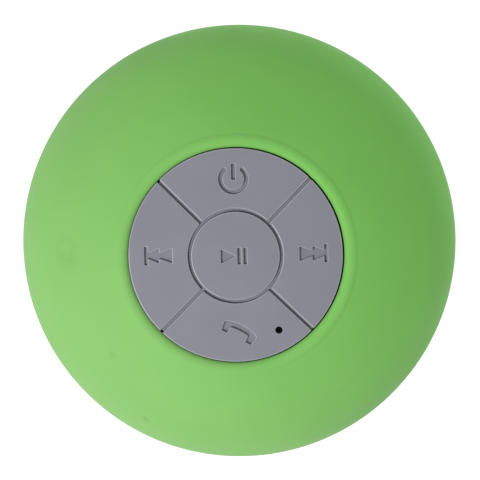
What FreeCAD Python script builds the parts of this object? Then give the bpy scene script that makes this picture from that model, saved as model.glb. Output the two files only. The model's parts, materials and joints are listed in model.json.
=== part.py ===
import FreeCAD, Part
import Sketcher
import math
import os
from FreeCAD import Vector, Placement, Rotation

# Shower speaker, millimetres.  Origin at the centre of the suction cup lip,
# +Z out through the keypad, +Y towards the power key.

doc = FreeCAD.newDocument("shower_speaker")
sheet = doc.addObject("Spreadsheet::Sheet", "Dims")

DIMS = [
    ("rim_radius", 43.0, "largest radius of the body"),
    ("wide_level", 25.0, "height of the widest plane above the cup lip"),
    ("dome_rise", 33.5, "rise of the outer dome over the widest plane"),
    ("side_round", 26.0, "side radius of the dome"),
    ("rear_round", 10.4, "radius of the rear edge"),
    ("sleeve_wall", 2.0, "silicone sleeve thickness"),
    ("shell_wall", 2.0, "front shell thickness"),
    ("hem_level", 15.4, "rear edge of the sleeve"),
    ("cover_level", 15.0, "outer face of the rear cover"),
    ("cover_wall", 2.0, "rear cover thickness"),
    ("cover_radius", 34.0, "rear cover radius"),
    ("bead_root", 23.15, "outer radius of the bead round the keypad"),
    ("bead_round", 1.75, "bead section radius"),
    ("mouth_radius", 20.55, "keypad opening radius"),
    ("mouth_level", 52.75, "inner edge of the bead"),
    ("seat_level", 49.2, "keypad flange seat in the shell"),
    ("pad_radius", 20.38, "keypad radius"),
    ("pad_top", 55.0, "top of the keypad dome"),
    ("pad_crown", 129.6, "keypad crown radius"),
    ("groove_width", 0.55, "groove between keys"),
    ("groove_depth", 0.65, "groove depth"),
    ("centre_key_radius", 8.45, "play key radius"),
    ("key_floor", 49.9, "underside of the key pads"),
    ("web_floor", 48.0, "underside of the keypad skin"),
    ("web_radius", 22.4, "keypad flange radius"),
    ("rib_gap", 0.1, "gap between a key and a groove rib"),
    ("key_pitch", 14.3, "distance of the outer key stems from the axis"),
    ("stem_radius", 2.2, "key stem radius"),
    ("stem_gap", 0.1, "gap round a key stem"),
    ("nub_level", 45.1, "top of the switch plungers"),
    ("icon_depth", 0.45, "depth of the engraved signs"),
    ("stroke_width", 0.78, "stroke width of the signs"),
    ("bar_width", 0.62, "bar width of the skip and pause signs"),
    ("mic_east", 8.0, "microphone hole across"),
    ("mic_north", -14.35, "microphone hole along"),
    ("mic_bore", 0.7, "microphone hole radius"),
    ("board_level", 40.9, "underside of the main board"),
    ("board_thick", 1.6, "main board thickness"),
    ("board_radius", 30.0, "main board radius"),
    ("post_pitch", 28.5, "board post pitch radius"),
    ("column_pitch", 29.5, "screw column pitch radius"),
    ("column_radius", 2.8, "screw column radius"),
    ("clamp_pitch", 23.2, "driver clamp screw pitch radius"),
    ("retainer_pitch", 23.9, "keypad retainer screw pitch radius"),
    ("cup_radius", 26.0, "suction cup radius"),
    ("hub_radius", 8.5, "suction cup hub radius"),
    ("boss_radius", 9.0, "rear cover boss radius"),
    ("boss_level", 11.5, "end face of the rear cover boss"),
    ("stud_radius", 4.0, "cup stud radius"),
    ("stud_gap", 0.05, "running gap round the stud"),
    ("slot_count", 16, "grille slots"),
    ("slot_width", 1.8, "grille slot width"),
    ("port_south", 28.45, "charging port distance from the axis"),
    ("driver_radius", 20.5, "loudspeaker flange radius"),
    ("wire_radius", 0.5, "lead radius"),
    ("bend_radius", 3.0, "lead bend radius"),
]
VALUE = {}
for row, (alias, value, note) in enumerate(DIMS, start=1):
    sheet.set("A%d" % row, note)
    sheet.set("B%d" % row, str(value))
    sheet.setAlias("B%d" % row, alias)
    VALUE[alias] = float(value)
doc.recompute()


class Q(object):
    """A length with its number and the sheet expression that drives it."""

    def __init__(self, v, t=None):
        self.v = float(v)
        self.t = t if t is not None else repr(float(v))
        self.free = t is not None

    def _mix(self, other, sign):
        o = other if isinstance(other, Q) else Q(other)
        v = {"+": self.v + o.v, "-": self.v - o.v, "*": self.v * o.v,
             "/": self.v / o.v if sign == "/" else 0.0}[sign]
        if self.free or o.free:
            return Q(v, "(%s %s %s)" % (self.t, sign, o.t))
        return Q(v)

    def __add__(self, o):
        return self._mix(o, "+")

    def __sub__(self, o):
        return self._mix(o, "-")

    def __mul__(self, o):
        return self._mix(o, "*")

    def __truediv__(self, o):
        return self._mix(o, "/")

    def __radd__(self, o):
        return Q(o)._mix(self, "+")

    def __rsub__(self, o):
        return Q(o)._mix(self, "-")

    def __rmul__(self, o):
        return Q(o)._mix(self, "*")

    def __neg__(self):
        return Q(0)._mix(self, "-")


def root(a):
    a = a if isinstance(a, Q) else Q(a)
    if a.free:
        return Q(math.sqrt(a.v), "sqrt(%s)" % a.t)
    return Q(math.sqrt(a.v))


def D(alias):
    return Q(VALUE[alias], "Dims." + alias)


def q(a):
    return a if isinstance(a, Q) else Q(a)


def drive(obj, prop, value):
    value = q(value)
    setattr(obj, prop, value.v)
    if value.free:
        obj.setExpression(prop, value.t)


def body(name):
    b = doc.addObject("PartDesign::Body", name)
    b.Label = name
    return b


def origin_item(b, role):
    for f in b.Origin.OriginFeatures:
        if f.Role == role:
            return f
    raise RuntimeError("no " + role)


def sketch(b, name, role, level=None, place=None):
    s = b.newObject("Sketcher::SketchObject", name)
    s.AttachmentSupport = [(origin_item(b, role), "")]
    s.MapMode = "FlatFace"
    if place is not None:
        s.AttachmentOffset = place
    elif level is not None:
        level = q(level)
        s.AttachmentOffset = Placement(Vector(0, 0, level.v), Rotation())
        if level.free:
            s.setExpression("AttachmentOffset.Base.z", level.t)
    return s


def put(sk, rules):
    """Adds the constraints in one go and ties each to its expression."""
    first = sk.ConstraintCount
    sk.addConstraint([r[0] for r in rules])
    for i, (c, value) in enumerate(rules):
        if value is not None and value.free:
            name = "d%d" % (first + i)
            sk.renameConstraint(first + i, name)
            sk.setExpression("Constraints." + name, value.t)


def pin(geo, pos, x, y):
    out = []
    for kind, value, axis in (("DistanceX", x, -2), ("DistanceY", y, -1)):
        if abs(value.v) < 1e-9:
            out.append((Sketcher.Constraint("PointOnObject", geo, pos, axis), None))
        else:
            out.append((Sketcher.Constraint(kind, -1, 1, geo, pos, value.v), value))
    return out


def loop(sk, verts, arcs=None):
    """Closed outline.  arcs: {edge index: (cx, cy, radius, ccw)}."""
    arcs = arcs or {}
    verts = [(q(x), q(y)) for x, y in verts]
    n = len(verts)
    ends = []
    rules = []
    for i in range(n):
        ax, ay = verts[i][0].v, verts[i][1].v
        bx, by = verts[(i + 1) % n][0].v, verts[(i + 1) % n][1].v
        if i in arcs:
            cx, cy, rad, ccw = arcs[i]
            cx, cy, rad = q(cx), q(cy), q(rad)
            a0 = math.atan2(ay - cy.v, ax - cx.v)
            a1 = math.atan2(by - cy.v, bx - cx.v)
            if not ccw:
                a0, a1 = a1, a0
            while a1 <= a0 + 1e-9:
                a1 += 2 * math.pi
            g = sk.addGeometry(Part.ArcOfCircle(Part.Circle(
                Vector(cx.v, cy.v, 0), Vector(0, 0, 1), rad.v), a0, a1), False)
            ends.append((g, 1, 2) if ccw else (g, 2, 1))
            if math.hypot(bx - ax, by - ay) > 1.999 * rad.v:
                # half circle: its centre is held instead of its radius
                x_rule, y_rule = pin(g, 3, cx, cy)
                rules.append(x_rule if abs(bx - ax) < abs(by - ay) else y_rule)
            else:
                rules.append((Sketcher.Constraint("Radius", g, rad.v), rad))
        else:
            g = sk.addGeometry(Part.LineSegment(Vector(ax, ay, 0), Vector(bx, by, 0)), False)
            ends.append((g, 1, 2))
    for i in range(n):
        pg, _, pe = ends[i - 1]
        g, s0, _ = ends[i]
        rules.append((Sketcher.Constraint("Coincident", pg, pe, g, s0), None))
        rules += pin(g, s0, verts[i][0], verts[i][1])
    put(sk, rules)


def ring(sk, x, y, rad):
    x, y, rad = q(x), q(y), q(rad)
    g = sk.addGeometry(Part.Circle(Vector(x.v, y.v, 0), Vector(0, 0, 1), rad.v), False)
    put(sk, [(Sketcher.Constraint("Radius", g, rad.v), rad)] + pin(g, 3, x, y))


def box_loop(sk, x0, y0, x1, y1):
    loop(sk, [(x0, y0), (x1, y0), (x1, y1), (x0, y1)])


def revolve(b, verts, arcs=None, cut=False, tag="", plane="XZ_Plane"):
    sk = sketch(b, b.Name + "_profile" + tag, plane)
    loop(sk, verts, arcs)
    kind = "PartDesign::Groove" if cut else "PartDesign::Revolution"
    before = b.Shape.Volume if cut else 0.0
    f = b.newObject(kind, b.Name + ("_groove" if cut else "_turned") + tag)
    f.Profile = sk
    f.ReferenceAxis = (sk, ["V_Axis"])
    f.Angle = 360.0
    sk.Visibility = False
    b.Tip = f
    doc.recompute()
    if cut and not b.Shape.Volume < before:
        raise RuntimeError("groove removed nothing: " + b.Name)
    return f


def pad(b, draw, level, length, down=False, place=None, tag=""):
    sk = sketch(b, b.Name + "_pad_sketch" + tag, "XY_Plane", level, place)
    draw(sk)
    f = b.newObject("PartDesign::Pad", b.Name + "_pad" + tag)
    f.Profile = sk
    drive(f, "Length", length)
    f.Reversed = bool(down)
    sk.Visibility = False
    b.Tip = f
    doc.recompute()
    return f


def pocket(b, draw, level, length, up=False, place=None, tag=""):
    """Cuts down from the level, or up from it."""
    before = b.Shape.Volume
    sk = sketch(b, b.Name + "_cut_sketch" + tag, "XY_Plane", level, place)
    draw(sk)
    f = b.newObject("PartDesign::Pocket", b.Name + "_cut" + tag)
    f.Profile = sk
    drive(f, "Length", length)
    f.Reversed = bool(up)
    sk.Visibility = False
    b.Tip = f
    doc.recompute()
    if not b.Shape.Volume < before - 1e-6:
        raise RuntimeError("pocket removed nothing: %s %s" % (b.Name, tag))
    return f


def around(b, feature, count, tag=""):
    p = b.newObject("PartDesign::PolarPattern", b.Name + "_pattern" + tag)
    p.Originals = [feature]
    p.Axis = (origin_item(b, "Z_Axis"), [""])
    p.Angle = 360.0
    count = q(count)
    p.Occurrences = int(count.v)
    if count.free:
        p.setExpression("Occurrences", count.t)
    b.Tip = p
    doc.recompute()
    return p


def rounding(b, test, radius, tag="", kind="Fillet"):
    """Rounds the edges of the tip that pass the test."""
    base = b.Tip
    names = ["Edge%d" % (i + 1) for i, e in enumerate(base.Shape.Edges) if test(e)]
    if not names:
        raise RuntimeError("no edge to round on " + b.Name + tag)
    f = b.newObject("PartDesign::" + kind, b.Name + "_round" + tag)
    f.Base = (base, names)
    if kind == "Fillet":
        drive(f, "Radius", radius)
    else:
        drive(f, "Size", radius)
    b.Tip = f
    doc.recompute()
    return f


def is_circle(e, r, z, tol=0.02):
    try:
        c = e.Curve
    except Exception:
        return False
    return (c.TypeId == "Part::GeomCircle" and abs(c.Radius - r) < tol
            and abs(c.Center.z - z) < tol and abs(abs(c.Axis.z) - 1) < 1e-6)


ROOT_HALF = root(Q(0.5))


def spots(pitch, diagonal):
    """Four places on a pitch circle: on the diagonals or on the axes."""
    pitch = q(pitch)
    if diagonal:
        k = pitch * ROOT_HALF.v
        return [(k, k), (-k, k), (-k, -k), (k, -k)]
    zero = Q(0)
    return [(pitch, zero), (zero, pitch), (-pitch, zero), (zero, -pitch)]


def rings_at(places, rad):
    def draw(sk):
        for x, y in places:
            ring(sk, x, y, rad)
    return draw


def cylinders(name, places, steps):
    """Equal turned pieces, one solid at each place: steps of (level, length, radius)."""
    b = body(name)
    for i, (level, length, rad) in enumerate(steps):
        pad(b, rings_at(places, rad), level, length, tag="_%d" % i)
    return b


# ---------------------------------------------------------------- outer curve
side_x = D("rim_radius") - D("side_round")
rise_gap = D("dome_rise") - D("side_round")
crown_drop = (side_x * side_x - rise_gap * rise_gap) / (2 * rise_gap)
crown_z = D("wide_level") - crown_drop
crown_r = D("dome_rise") + crown_drop
reach = crown_r - D("side_round")
rear_x = D("rim_radius") - D("rear_round")


def join(t):
    """Where the crown arc meets the side arc, at depth t under the outer face."""
    rad = D("side_round") - t
    return (side_x + rad * side_x / reach, D("wide_level") + rad * crown_drop / reach)


def crown_at(r, t):
    k = crown_r - t
    r = q(r)
    return crown_z + root(k * k - r * r)


def rear_at(z, t):
    k = D("rear_round") - t
    dz = D("wide_level") - z
    return rear_x + root(k * k - dz * dz)


def widest(t):
    return (D("rim_radius") - t, D("wide_level"))


sl = D("sleeve_wall")
sh = D("sleeve_wall") + D("shell_wall")
cover_top = D("cover_level") + D("cover_wall")

# ---------------------------------------------------------------- sleeve
b = body("silicone_sleeve")
bead_a = (D("bead_root"), crown_at(D("bead_root"), 0))
bead_b = (D("mouth_radius"), D("mouth_level"))
# centre of the bead section from its two ends and its radius
mx = (bead_a[0] + bead_b[0]) / 2
mz = (bead_a[1] + bead_b[1]) / 2
ux = bead_a[0] - bead_b[0]
uz = bead_a[1] - bead_b[1]
half2 = (ux * ux + uz * uz) / 4
back = root(D("bead_round") * D("bead_round") - half2)
span = root(ux * ux + uz * uz)
bead_c = (mx + back * uz / span, mz - back * ux / span)
verts = [
    (D("cover_radius"), D("hem_level")),
    (rear_at(D("hem_level"), 0), D("hem_level")),
    widest(0),
    join(0),
    bead_a,
    bead_b,
    (D("mouth_radius"), crown_at(D("mouth_radius"), sl)),
    join(sl),
    widest(sl),
    (rear_at(cover_top, sl), cover_top),
    (D("cover_radius"), cover_top),
]
arcs = {
    1: (rear_x, D("wide_level"), D("rear_round"), True),
    2: (side_x, D("wide_level"), D("side_round"), True),
    3: (Q(0), crown_z, crown_r, True),
    4: (bead_c[0], bead_c[1], D("bead_round"), True),
    6: (Q(0), crown_z, crown_r - sl, False),
    7: (side_x, D("wide_level"), D("side_round") - sl, False),
    8: (rear_x, D("wide_level"), D("rear_round") - sl, False),
}
revolve(b, verts, arcs)
rounding(b, lambda e: is_circle(e, rear_at(D("hem_level"), 0).v, 15.4), 0.6)
rounding(b, lambda e: is_circle(e, VALUE["mouth_radius"], VALUE["mouth_level"]), 0.3, tag="_lip")

# ---------------------------------------------------------------- front shell
b = body("front_shell")
ring_edge = 46.0
crown_in = crown_r - sh
ring_r = root(crown_in * crown_in - (Q(ring_edge) - crown_z) * (Q(ring_edge) - crown_z))
floor_r = rear_at(cover_top + 2.0, sh)
verts = [
    (Q(31.0), cover_top),
    (rear_at(cover_top, sl), cover_top),
    widest(sl),
    join(sl),
    (D("mouth_radius"), crown_at(D("mouth_radius"), sl)),
    (D("mouth_radius"), D("seat_level")),
    (D("web_radius") + 0.2, D("seat_level")),
    (D("web_radius") + 0.2, Q(ring_edge)),
    (ring_r, Q(ring_edge)),
    join(sh),
    widest(sh),
    (floor_r, cover_top + 2.0),
    (Q(31.0), cover_top + 2.0),
]
arcs = {
    1: (rear_x, D("wide_level"), D("rear_round") - sl, True),
    2: (side_x, D("wide_level"), D("side_round") - sl, True),
    3: (Q(0), crown_z, crown_r - sl, True),
    8: (Q(0), crown_z, crown_r - sh, False),
    9: (side_x, D("wide_level"), D("side_round") - sh, False),
    10: (rear_x, D("wide_level"), D("rear_round") - sh, False),
}
revolve(b, verts, arcs)
columns = spots(D("column_pitch"), True)
posts = spots(D("post_pitch"), False)
board_top = D("board_level") + D("board_thick")
pad(b, rings_at(columns, D("column_radius")), cover_top, 43.4 - cover_top, tag="_columns")
pad(b, rings_at(posts, 2.2), board_top, 44.6 - board_top, tag="_posts")
pocket(b, rings_at(columns, 1.1), cover_top, 10.0, up=True, tag="_column_holes")
pocket(b, rings_at(posts, 0.8), board_top, 2.1, up=True, tag="_post_holes")
keeps = spots(D("retainer_pitch"), True)
pocket(b, rings_at(keeps, 0.7), Q(ring_edge), 2.1, up=True, tag="_retainer_holes")

# ---------------------------------------------------------------- keypad
crown_c = D("pad_top") - D("pad_crown")


def pad_at(r, drop=0):
    k = D("pad_crown") - drop
    r = q(r)
    return crown_c + root(k * k - r * r)


def quarter(turn, p):
    x, y = p
    if turn == 0:
        return (x, y)
    if turn == 1:
        return (-y, x)
    if turn == 2:
        return (-x, -y)
    return (y, -x)


def sector(turn, inner, outer, side):
    """Outline of an outer key: between two radii, a set distance off both diagonals."""
    inner, outer, side = q(inner), q(outer), q(side)
    pts = []
    si = root(inner * inner - side * side)
    so = root(outer * outer - side * side)
    k = ROOT_HALF.v
    pts.append(((si - side) * k, (si + side) * k))
    pts.append(((so - side) * k, (so + side) * k))
    pts.append((-((so - side) * k), (so + side) * k))
    pts.append((-((si - side) * k), (si + side) * k))
    pts = [quarter(turn, p) for p in pts]

    def draw(sk):
        loop(sk, pts, {1: (Q(0), Q(0), outer, True), 3: (Q(0), Q(0), inner, False)})
    return draw


inner_edge = D("centre_key_radius") + D("groove_width")
half_groove = D("groove_width") / 2
KEYS = {"power": 0, "previous": 1, "call": 2, "next": 3}


def stem_spot(name):
    if name == "play_pause":
        return (Q(0), Q(0))
    return quarter(KEYS[name], (Q(0), D("key_pitch")))


def tangent(x, y, turn=0.0):
    """Sketch place tangent to the keypad dome at x, y."""
    r = VALUE["pad_crown"]
    z = VALUE["pad_top"] - r + math.sqrt(r * r - x * x - y * y)
    n = Vector(x, y, math.sqrt(r * r - x * x - y * y))
    rot = Rotation(Vector(0, 0, 1), n).multiply(Rotation(Vector(0, 0, 1), turn))
    return Placement(Vector(x, y, z), rot)


def bar(x0, y0, x1, y1):
    def draw(sk):
        box_loop(sk, Q(x0), Q(y0), Q(x1), Q(y1))
    return draw


def draw_arrows(sign):
    def draw(sk):
        # two arrow heads running into each other and into the end bar, as one outline
        w = D("bar_width")
        pts = [(Q(-2.6), Q(-1.4)), (Q(-0.1), Q(-0.5)), (Q(-0.1), Q(-1.4)), (Q(2.1), Q(-0.5)),
               (Q(2.1), Q(-1.75)), (2.1 + w, Q(-1.75)), (2.1 + w, Q(1.75)), (Q(2.1), Q(1.75)),
               (Q(2.1), Q(0.5)), (Q(-0.1), Q(1.4)), (Q(-0.1), Q(0.5)), (Q(-2.6), Q(1.4))]
        if sign < 0:
            pts = [(-x, y) for x, y in reversed(pts)]
        loop(sk, pts)
    return draw


def draw_play(sk):
    w = D("bar_width")
    loop(sk, [(-2.75, -1.38), (-0.1, 0), (-2.75, 1.38)])
    loop(sk, [(Q(0.42), Q(-1.58)), (0.42 + w, Q(-1.58)), (0.42 + w, Q(1.58)), (Q(0.42), Q(1.58))])
    loop(sk, [(Q(1.55), Q(-1.58)), (1.55 + w, Q(-1.58)), (1.55 + w, Q(1.58)), (Q(1.55), Q(1.58))])


def draw_power(sk):
    w = D("stroke_width")
    ro, ri = 2.44 + w / 2, 2.44 - w / 2
    a = math.radians(90 - 35)
    c, s_ = math.cos(a), math.sin(a)
    # ring open at the top, with the bar standing in the opening
    loop(sk, [(-(ro * c), ro * s_), (ro * c, ro * s_), (ri * c, ri * s_), (-(ri * c), ri * s_)],
         {0: (Q(0), Q(0), ro, True), 2: (Q(0), Q(0), ri, False)})
    loop(sk, [(-(w / 2), Q(-0.1)), (w / 2, Q(-0.1)), (w / 2, Q(2.95)), (-(w / 2), Q(2.95))])


def bow(half, low, high):
    """Radius and centre height of an arc over a chord of that half width."""
    rise = high - low
    r = (half * half + rise * rise) / (2 * rise)
    return r, high - r


def draw_handset(sk):
    # bowed grip with two end pieces, drawn level and turned by the sketch place
    top_r, top_c = bow(3.4, 0.5, 1.2)
    low_r, low_c = bow(1.9, -0.1, 0.08)
    pts = [(3.4, 0.5), (-3.4, 0.5), (-3.1, -1.4), (-1.95, -1.4), (-1.9, -0.1),
           (1.9, -0.1), (1.95, -1.4), (3.1, -1.4)]
    loop(sk, pts, {0: (Q(0), Q(top_c), Q(top_r), True), 4: (Q(0), Q(low_c), Q(low_r), False)})


def make_key(name):
    b = body("key_" + name)
    if name == "play_pause":
        outline = rings_at([(Q(0), Q(0))], D("centre_key_radius"))
        turn = None
    else:
        turn = KEYS[name]
        outline = sector(turn, inner_edge, D("pad_radius"), half_groove)
    pad(b, outline, D("key_floor"), 57.0 - D("key_floor"))
    far = Q(22.0)
    revolve(b, [(Q(0), D("pad_top")), (Q(0), Q(58.0)), (far, Q(58.0)), (far, pad_at(far))],
            {3: (Q(0), crown_c, D("pad_crown"), True)}, cut=True, tag="_crown",
            plane="YZ_Plane" if name == "next" else "XZ_Plane")
    if turn is not None:
        rounding(b, lambda e: (e.Curve.TypeId == "Part::GeomLine"
                               and abs(e.tangentAt(e.FirstParameter).z) > 0.99), 0.2, tag="_corners")
    low = VALUE["pad_top"] - 1.9
    rounding(b, lambda e: e.BoundBox.ZMin > low, 0.18, tag="_edge")
    sx, sy = stem_spot(name)
    pad(b, rings_at([(sx, sy)], D("stem_radius")), D("key_floor"),
        D("key_floor") - D("nub_level"), down=True, tag="_stem")
    depth = D("icon_depth")
    if name == "power":
        pocket(b, draw_power, None, depth, place=tangent(-0.15, 14.55), tag="_sign")
    elif name == "previous":
        pocket(b, draw_arrows(-1), None, depth, place=tangent(-14.6, 0.2), tag="_sign")
    elif name == "next":
        pocket(b, draw_arrows(1), None, depth, place=tangent(14.75, 0.2), tag="_sign")
    elif name == "play_pause":
        pocket(b, draw_play, None, depth, place=tangent(0, 0), tag="_sign")
    else:
        pocket(b, draw_handset, None, depth, place=tangent(0.5, -14.4, -28.5), tag="_sign")
        pocket(b, rings_at([(D("mic_east"), D("mic_north"))], D("mic_bore")),
               Q(57.0), 8.0, tag="_mic")
    return b


for key in ("power", "previous", "next", "call", "play_pause"):
    make_key(key)

b = body("keypad_web")
rib_edge = D("pad_radius") + 0.05
revolve(b, [(Q(0), D("web_floor")), (D("web_radius"), D("web_floor")), (D("web_radius"), D("seat_level")),
            (rib_edge, D("seat_level")), (rib_edge, pad_at(rib_edge, D("groove_depth"))),
            (Q(0), D("pad_top") - D("groove_depth"))],
        {4: (Q(0), crown_c, D("pad_crown") - D("groove_depth"), True)})
pocket(b, rings_at([(Q(0), Q(0))], D("centre_key_radius") + D("rib_gap")), D("seat_level"), 8.0, up=True, tag="_centre")
for name, turn in KEYS.items():
    pocket(b, sector(turn, inner_edge - D("rib_gap"), Q(21.0), half_groove - D("rib_gap")),
           D("seat_level"), 8.0, up=True, tag="_" + name)
holes = [stem_spot(k) for k in ("power", "previous", "next", "call", "play_pause")]
boot_gap = 2.05
pocket(b, rings_at(holes, D("stem_radius") + D("stem_gap")), D("web_floor"), 1.6, up=True, tag="_stems")
pocket(b, rings_at([(D("mic_east"), D("mic_north"))], boot_gap), D("web_floor"), 1.6, up=True, tag="_mic")

b = body("keypad_retainer")
revolve(b, [(Q(0), Q(46.5)), (Q(21.0), Q(46.5)), (Q(21.0), Q(44.5)), (Q(25.2), Q(44.5)),
            (Q(25.2), Q(46.0)), (D("web_radius"), Q(46.0)), (D("web_radius"), D("web_floor")),
            (Q(0), D("web_floor"))])
pocket(b, rings_at(holes, D("stem_radius") + D("stem_gap")), D("web_floor"), 1.5, tag="_stems")
pocket(b, rings_at([(D("mic_east"), D("mic_north"))], boot_gap), D("web_floor"), 1.5, tag="_mic")
pocket(b, rings_at(keeps, 0.9), Q(46.0), 1.5, tag="_screws")
cylinders("retainer_screws", keeps, [(43.6, 0.9, 1.4), (44.5, 3.5, 0.7)])

# ---------------------------------------------------------------- main board
b = body("main_board")
pad(b, rings_at([(Q(0), Q(0))], D("board_radius")), D("board_level"), D("board_thick"))
pocket(b, rings_at(columns, D("column_radius") + 0.4), board_top, D("board_thick"), tag="_columns")
pocket(b, rings_at(posts, 0.9), board_top, D("board_thick"), tag="_posts")
cylinders("board_screws", posts, [(D("board_level") - 1.0, 1.0, 1.6), (D("board_level"), 3.6, 0.8)])

b = body("switch_bodies")


def switch_squares(sk):
    for x, y in holes:
        box_loop(sk, x - 3.0, y - 3.0, x + 3.0, y + 3.0)


pad(b, switch_squares, board_top, 1.8)
pocket(b, rings_at(holes, 1.8), board_top + 1.8, 0.8, tag="_wells")
for name in ("power", "previous", "next", "call", "play_pause"):
    cylinders("switch_plunger_" + name, [stem_spot(name)], [(43.9, D("nub_level") - 43.9, 1.7)])

mic = [(D("mic_east"), D("mic_north"))]
cylinders("microphone", mic, [(board_top, 1.5, 2.0)])
b = body("microphone_boot")
pad(b, rings_at(mic, 2.0), board_top + 1.5, 5.4)
pocket(b, rings_at(mic, D("mic_bore")), board_top + 6.9, 5.4, tag="_bore")


def block(name, x0, y0, z0, x1, y1, z1, soften=0.0):
    """A plain rectangular component."""
    bx = doc.addObject("Part::Box", name + ("_raw" if soften else ""))
    drive(bx, "Length", x1 - q(x0))
    drive(bx, "Width", y1 - q(y0))
    drive(bx, "Height", z1 - q(z0))
    bx.Placement = Placement(Vector(q(x0).v, q(y0).v, q(z0).v), Rotation())
    if q(z0).free:
        bx.setExpression("Placement.Base.z", q(z0).t)
    if not soften:
        bx.Label = name
        return bx
    doc.recompute()
    f = doc.addObject("Part::Fillet", name)
    f.Base = bx
    f.Edges = [(i + 1, soften, soften) for i, e in enumerate(bx.Shape.Edges)]
    f.Label = name
    return f


block("bluetooth_module", -6.5, 13.0, D("board_level") - 1.0, 6.5, 23.0, D("board_level"))
block("amplifier_chip", -2.0, -20.0, D("board_level") - 1.2, 2.0, -15.0, D("board_level"))
cylinders("capacitors", [(Q(12.0), Q(-18.0)), (Q(-12.0), Q(-18.0))], [(D("board_level") - 4.0, 4.0, 2.0)])
block("battery_cell", -17.0, -11.0, 34.4, 17.0, 11.0, 39.8, soften=1.0)
block("battery_pad", -10.0, -8.0, 33.8, 10.0, 8.0, 34.4)
block("board_pad", -10.0, -8.0, 39.8, 10.0, 8.0, D("board_level"))

# ---------------------------------------------------------------- rear cover
b = body("rear_cover")
bore = D("stud_radius") + D("stud_gap")
verts = [
    (bore, D("boss_level")),
    (D("boss_radius"), D("boss_level")),
    (D("boss_radius"), D("cover_level")),
    (D("cover_radius"), D("cover_level")),
    (D("cover_radius"), cover_top),
    (Q(33.4), cover_top),
    (Q(33.4), cover_top - 0.6),
    (Q(32.4), cover_top - 0.6),
    (Q(32.4), cover_top),
    (Q(21.5), cover_top),
    (Q(21.5), Q(20.5)),
    (Q(18.6), Q(20.5)),
    (Q(18.6), cover_top),
    (bore, cover_top),
]
revolve(b, verts)
rounding(b, lambda e: is_circle(e, VALUE["boss_radius"], VALUE["boss_level"]), 0.6, tag="_boss")
rounding(b, lambda e: is_circle(e, VALUE["boss_radius"], VALUE["cover_level"]), 1.0, tag="_root")
rounding(b, lambda e: is_circle(e, VALUE["cover_radius"], VALUE["cover_level"]), 0.35, tag="_rim")
clamp_spots = spots(D("clamp_pitch"), True)
ports = [(Q(7.2), -D("port_south")), (Q(-7.2), -D("port_south"))]
pad(b, rings_at(clamp_spots, 1.8), cover_top, 22.0 - cover_top, tag="_clamp_posts")
pad(b, rings_at(ports, 1.5), cover_top, 22.5 - cover_top, tag="_port_posts")


def slot(sk):
    w = D("slot_width") / 2
    loop(sk, [(Q(11.6), -w), (Q(17.2), -w), (Q(17.2), w), (Q(11.6), w)],
         {1: (Q(17.2), Q(0), w, True), 3: (Q(11.6), Q(0), w, True)})


cut = pocket(b, slot, cover_top, D("cover_wall"), tag="_slot")
around(b, cut, D("slot_count"), tag="_slots")
pocket(b, rings_at(columns, 1.2), cover_top, D("cover_wall"), tag="_screw_holes")
pocket(b, rings_at(columns, 2.3), D("cover_level"), 1.2, up=True, tag="_screw_heads")
pocket(b, rings_at(clamp_spots, 0.7), Q(22.0), 4.5, tag="_clamp_holes")
pocket(b, rings_at(ports, 0.7), Q(22.5), 4.5, tag="_port_holes")
ps = D("port_south")
pocket(b, bar(-8.2, -31.0, 5.7, -25.9), D("cover_level"), 1.4, up=True, tag="_port_recess")
pocket(b, bar(-3.6, -29.55, 3.6, -27.35), D("cover_level"), 3.0, up=True, tag="_port_mouth")
pocket(b, rings_at([(Q(-6.9), -ps)], 0.9), D("cover_level"), 2.0, up=True, tag="_tether_hole")

b = body("rear_seal")
revolve(b, [(Q(32.45), cover_top - 0.6), (Q(33.35), cover_top - 0.6), (Q(33.35), cover_top), (Q(32.45), cover_top)])

b = cylinders("rear_screws", columns, [(15.1, 1.1, 2.1), (16.2, 9.8, 1.1)])


def crosses(sk):
    for x, y in columns:
        a, w = 1.3, 0.28
        pts = [(-w, -a), (w, -a), (w, -w), (a, -w), (a, w), (w, w), (w, a), (-w, a), (-w, w), (-a, w), (-a, -w), (-w, -w)]
        loop(sk, [(x + px, y + py) for px, py in pts])


pocket(b, crosses, Q(15.1), 0.6, up=True, tag="_drive")

b = body("grille_membrane")
pad(b, rings_at([(Q(0), Q(0))], Q(18.5)), cover_top, 0.25)
pocket(b, rings_at([(Q(0), Q(0))], Q(10.2)), cover_top + 0.25, 0.25, tag="_eye")

# ---------------------------------------------------------------- charging port
block("port_board", -8.5, -32.6, 22.5, 8.5, -25.3, 23.7)
raw = doc.getObject("port_board")
raw.Label = "port_board_blank"
drills = []
for i, (x, y) in enumerate(ports):
    c = doc.addObject("Part::Cylinder", "port_board_drill_%d" % i)
    c.Radius = 0.8
    c.Height = 3.0
    c.Placement = Placement(Vector(x.v, y.v, 22.0), Rotation())
    drills.append(c)
both = doc.addObject("Part::MultiFuse", "port_board_drills")
both.Shapes = drills
cutb = doc.addObject("Part::Cut", "port_board_drilled")
cutb.Base = raw
cutb.Tool = both
cutb.Label = "port_board"
cylinders("port_board_screws", ports, [(22.5 - 4.0, 5.2, 0.7), (23.7, 0.9, 1.4)])

b = body("usb_connector")
pad(b, bar(-3.75, -29.75, 3.75, -27.15), cover_top, 5.5)
pocket(b, bar(-3.45, -29.45, 3.45, -27.45), cover_top, 4.6, up=True, tag="_mouth")
pad(b, bar(-2.6, -28.75, 2.6, -28.15), Q(19.0), 2.8, tag="_tongue")

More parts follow.
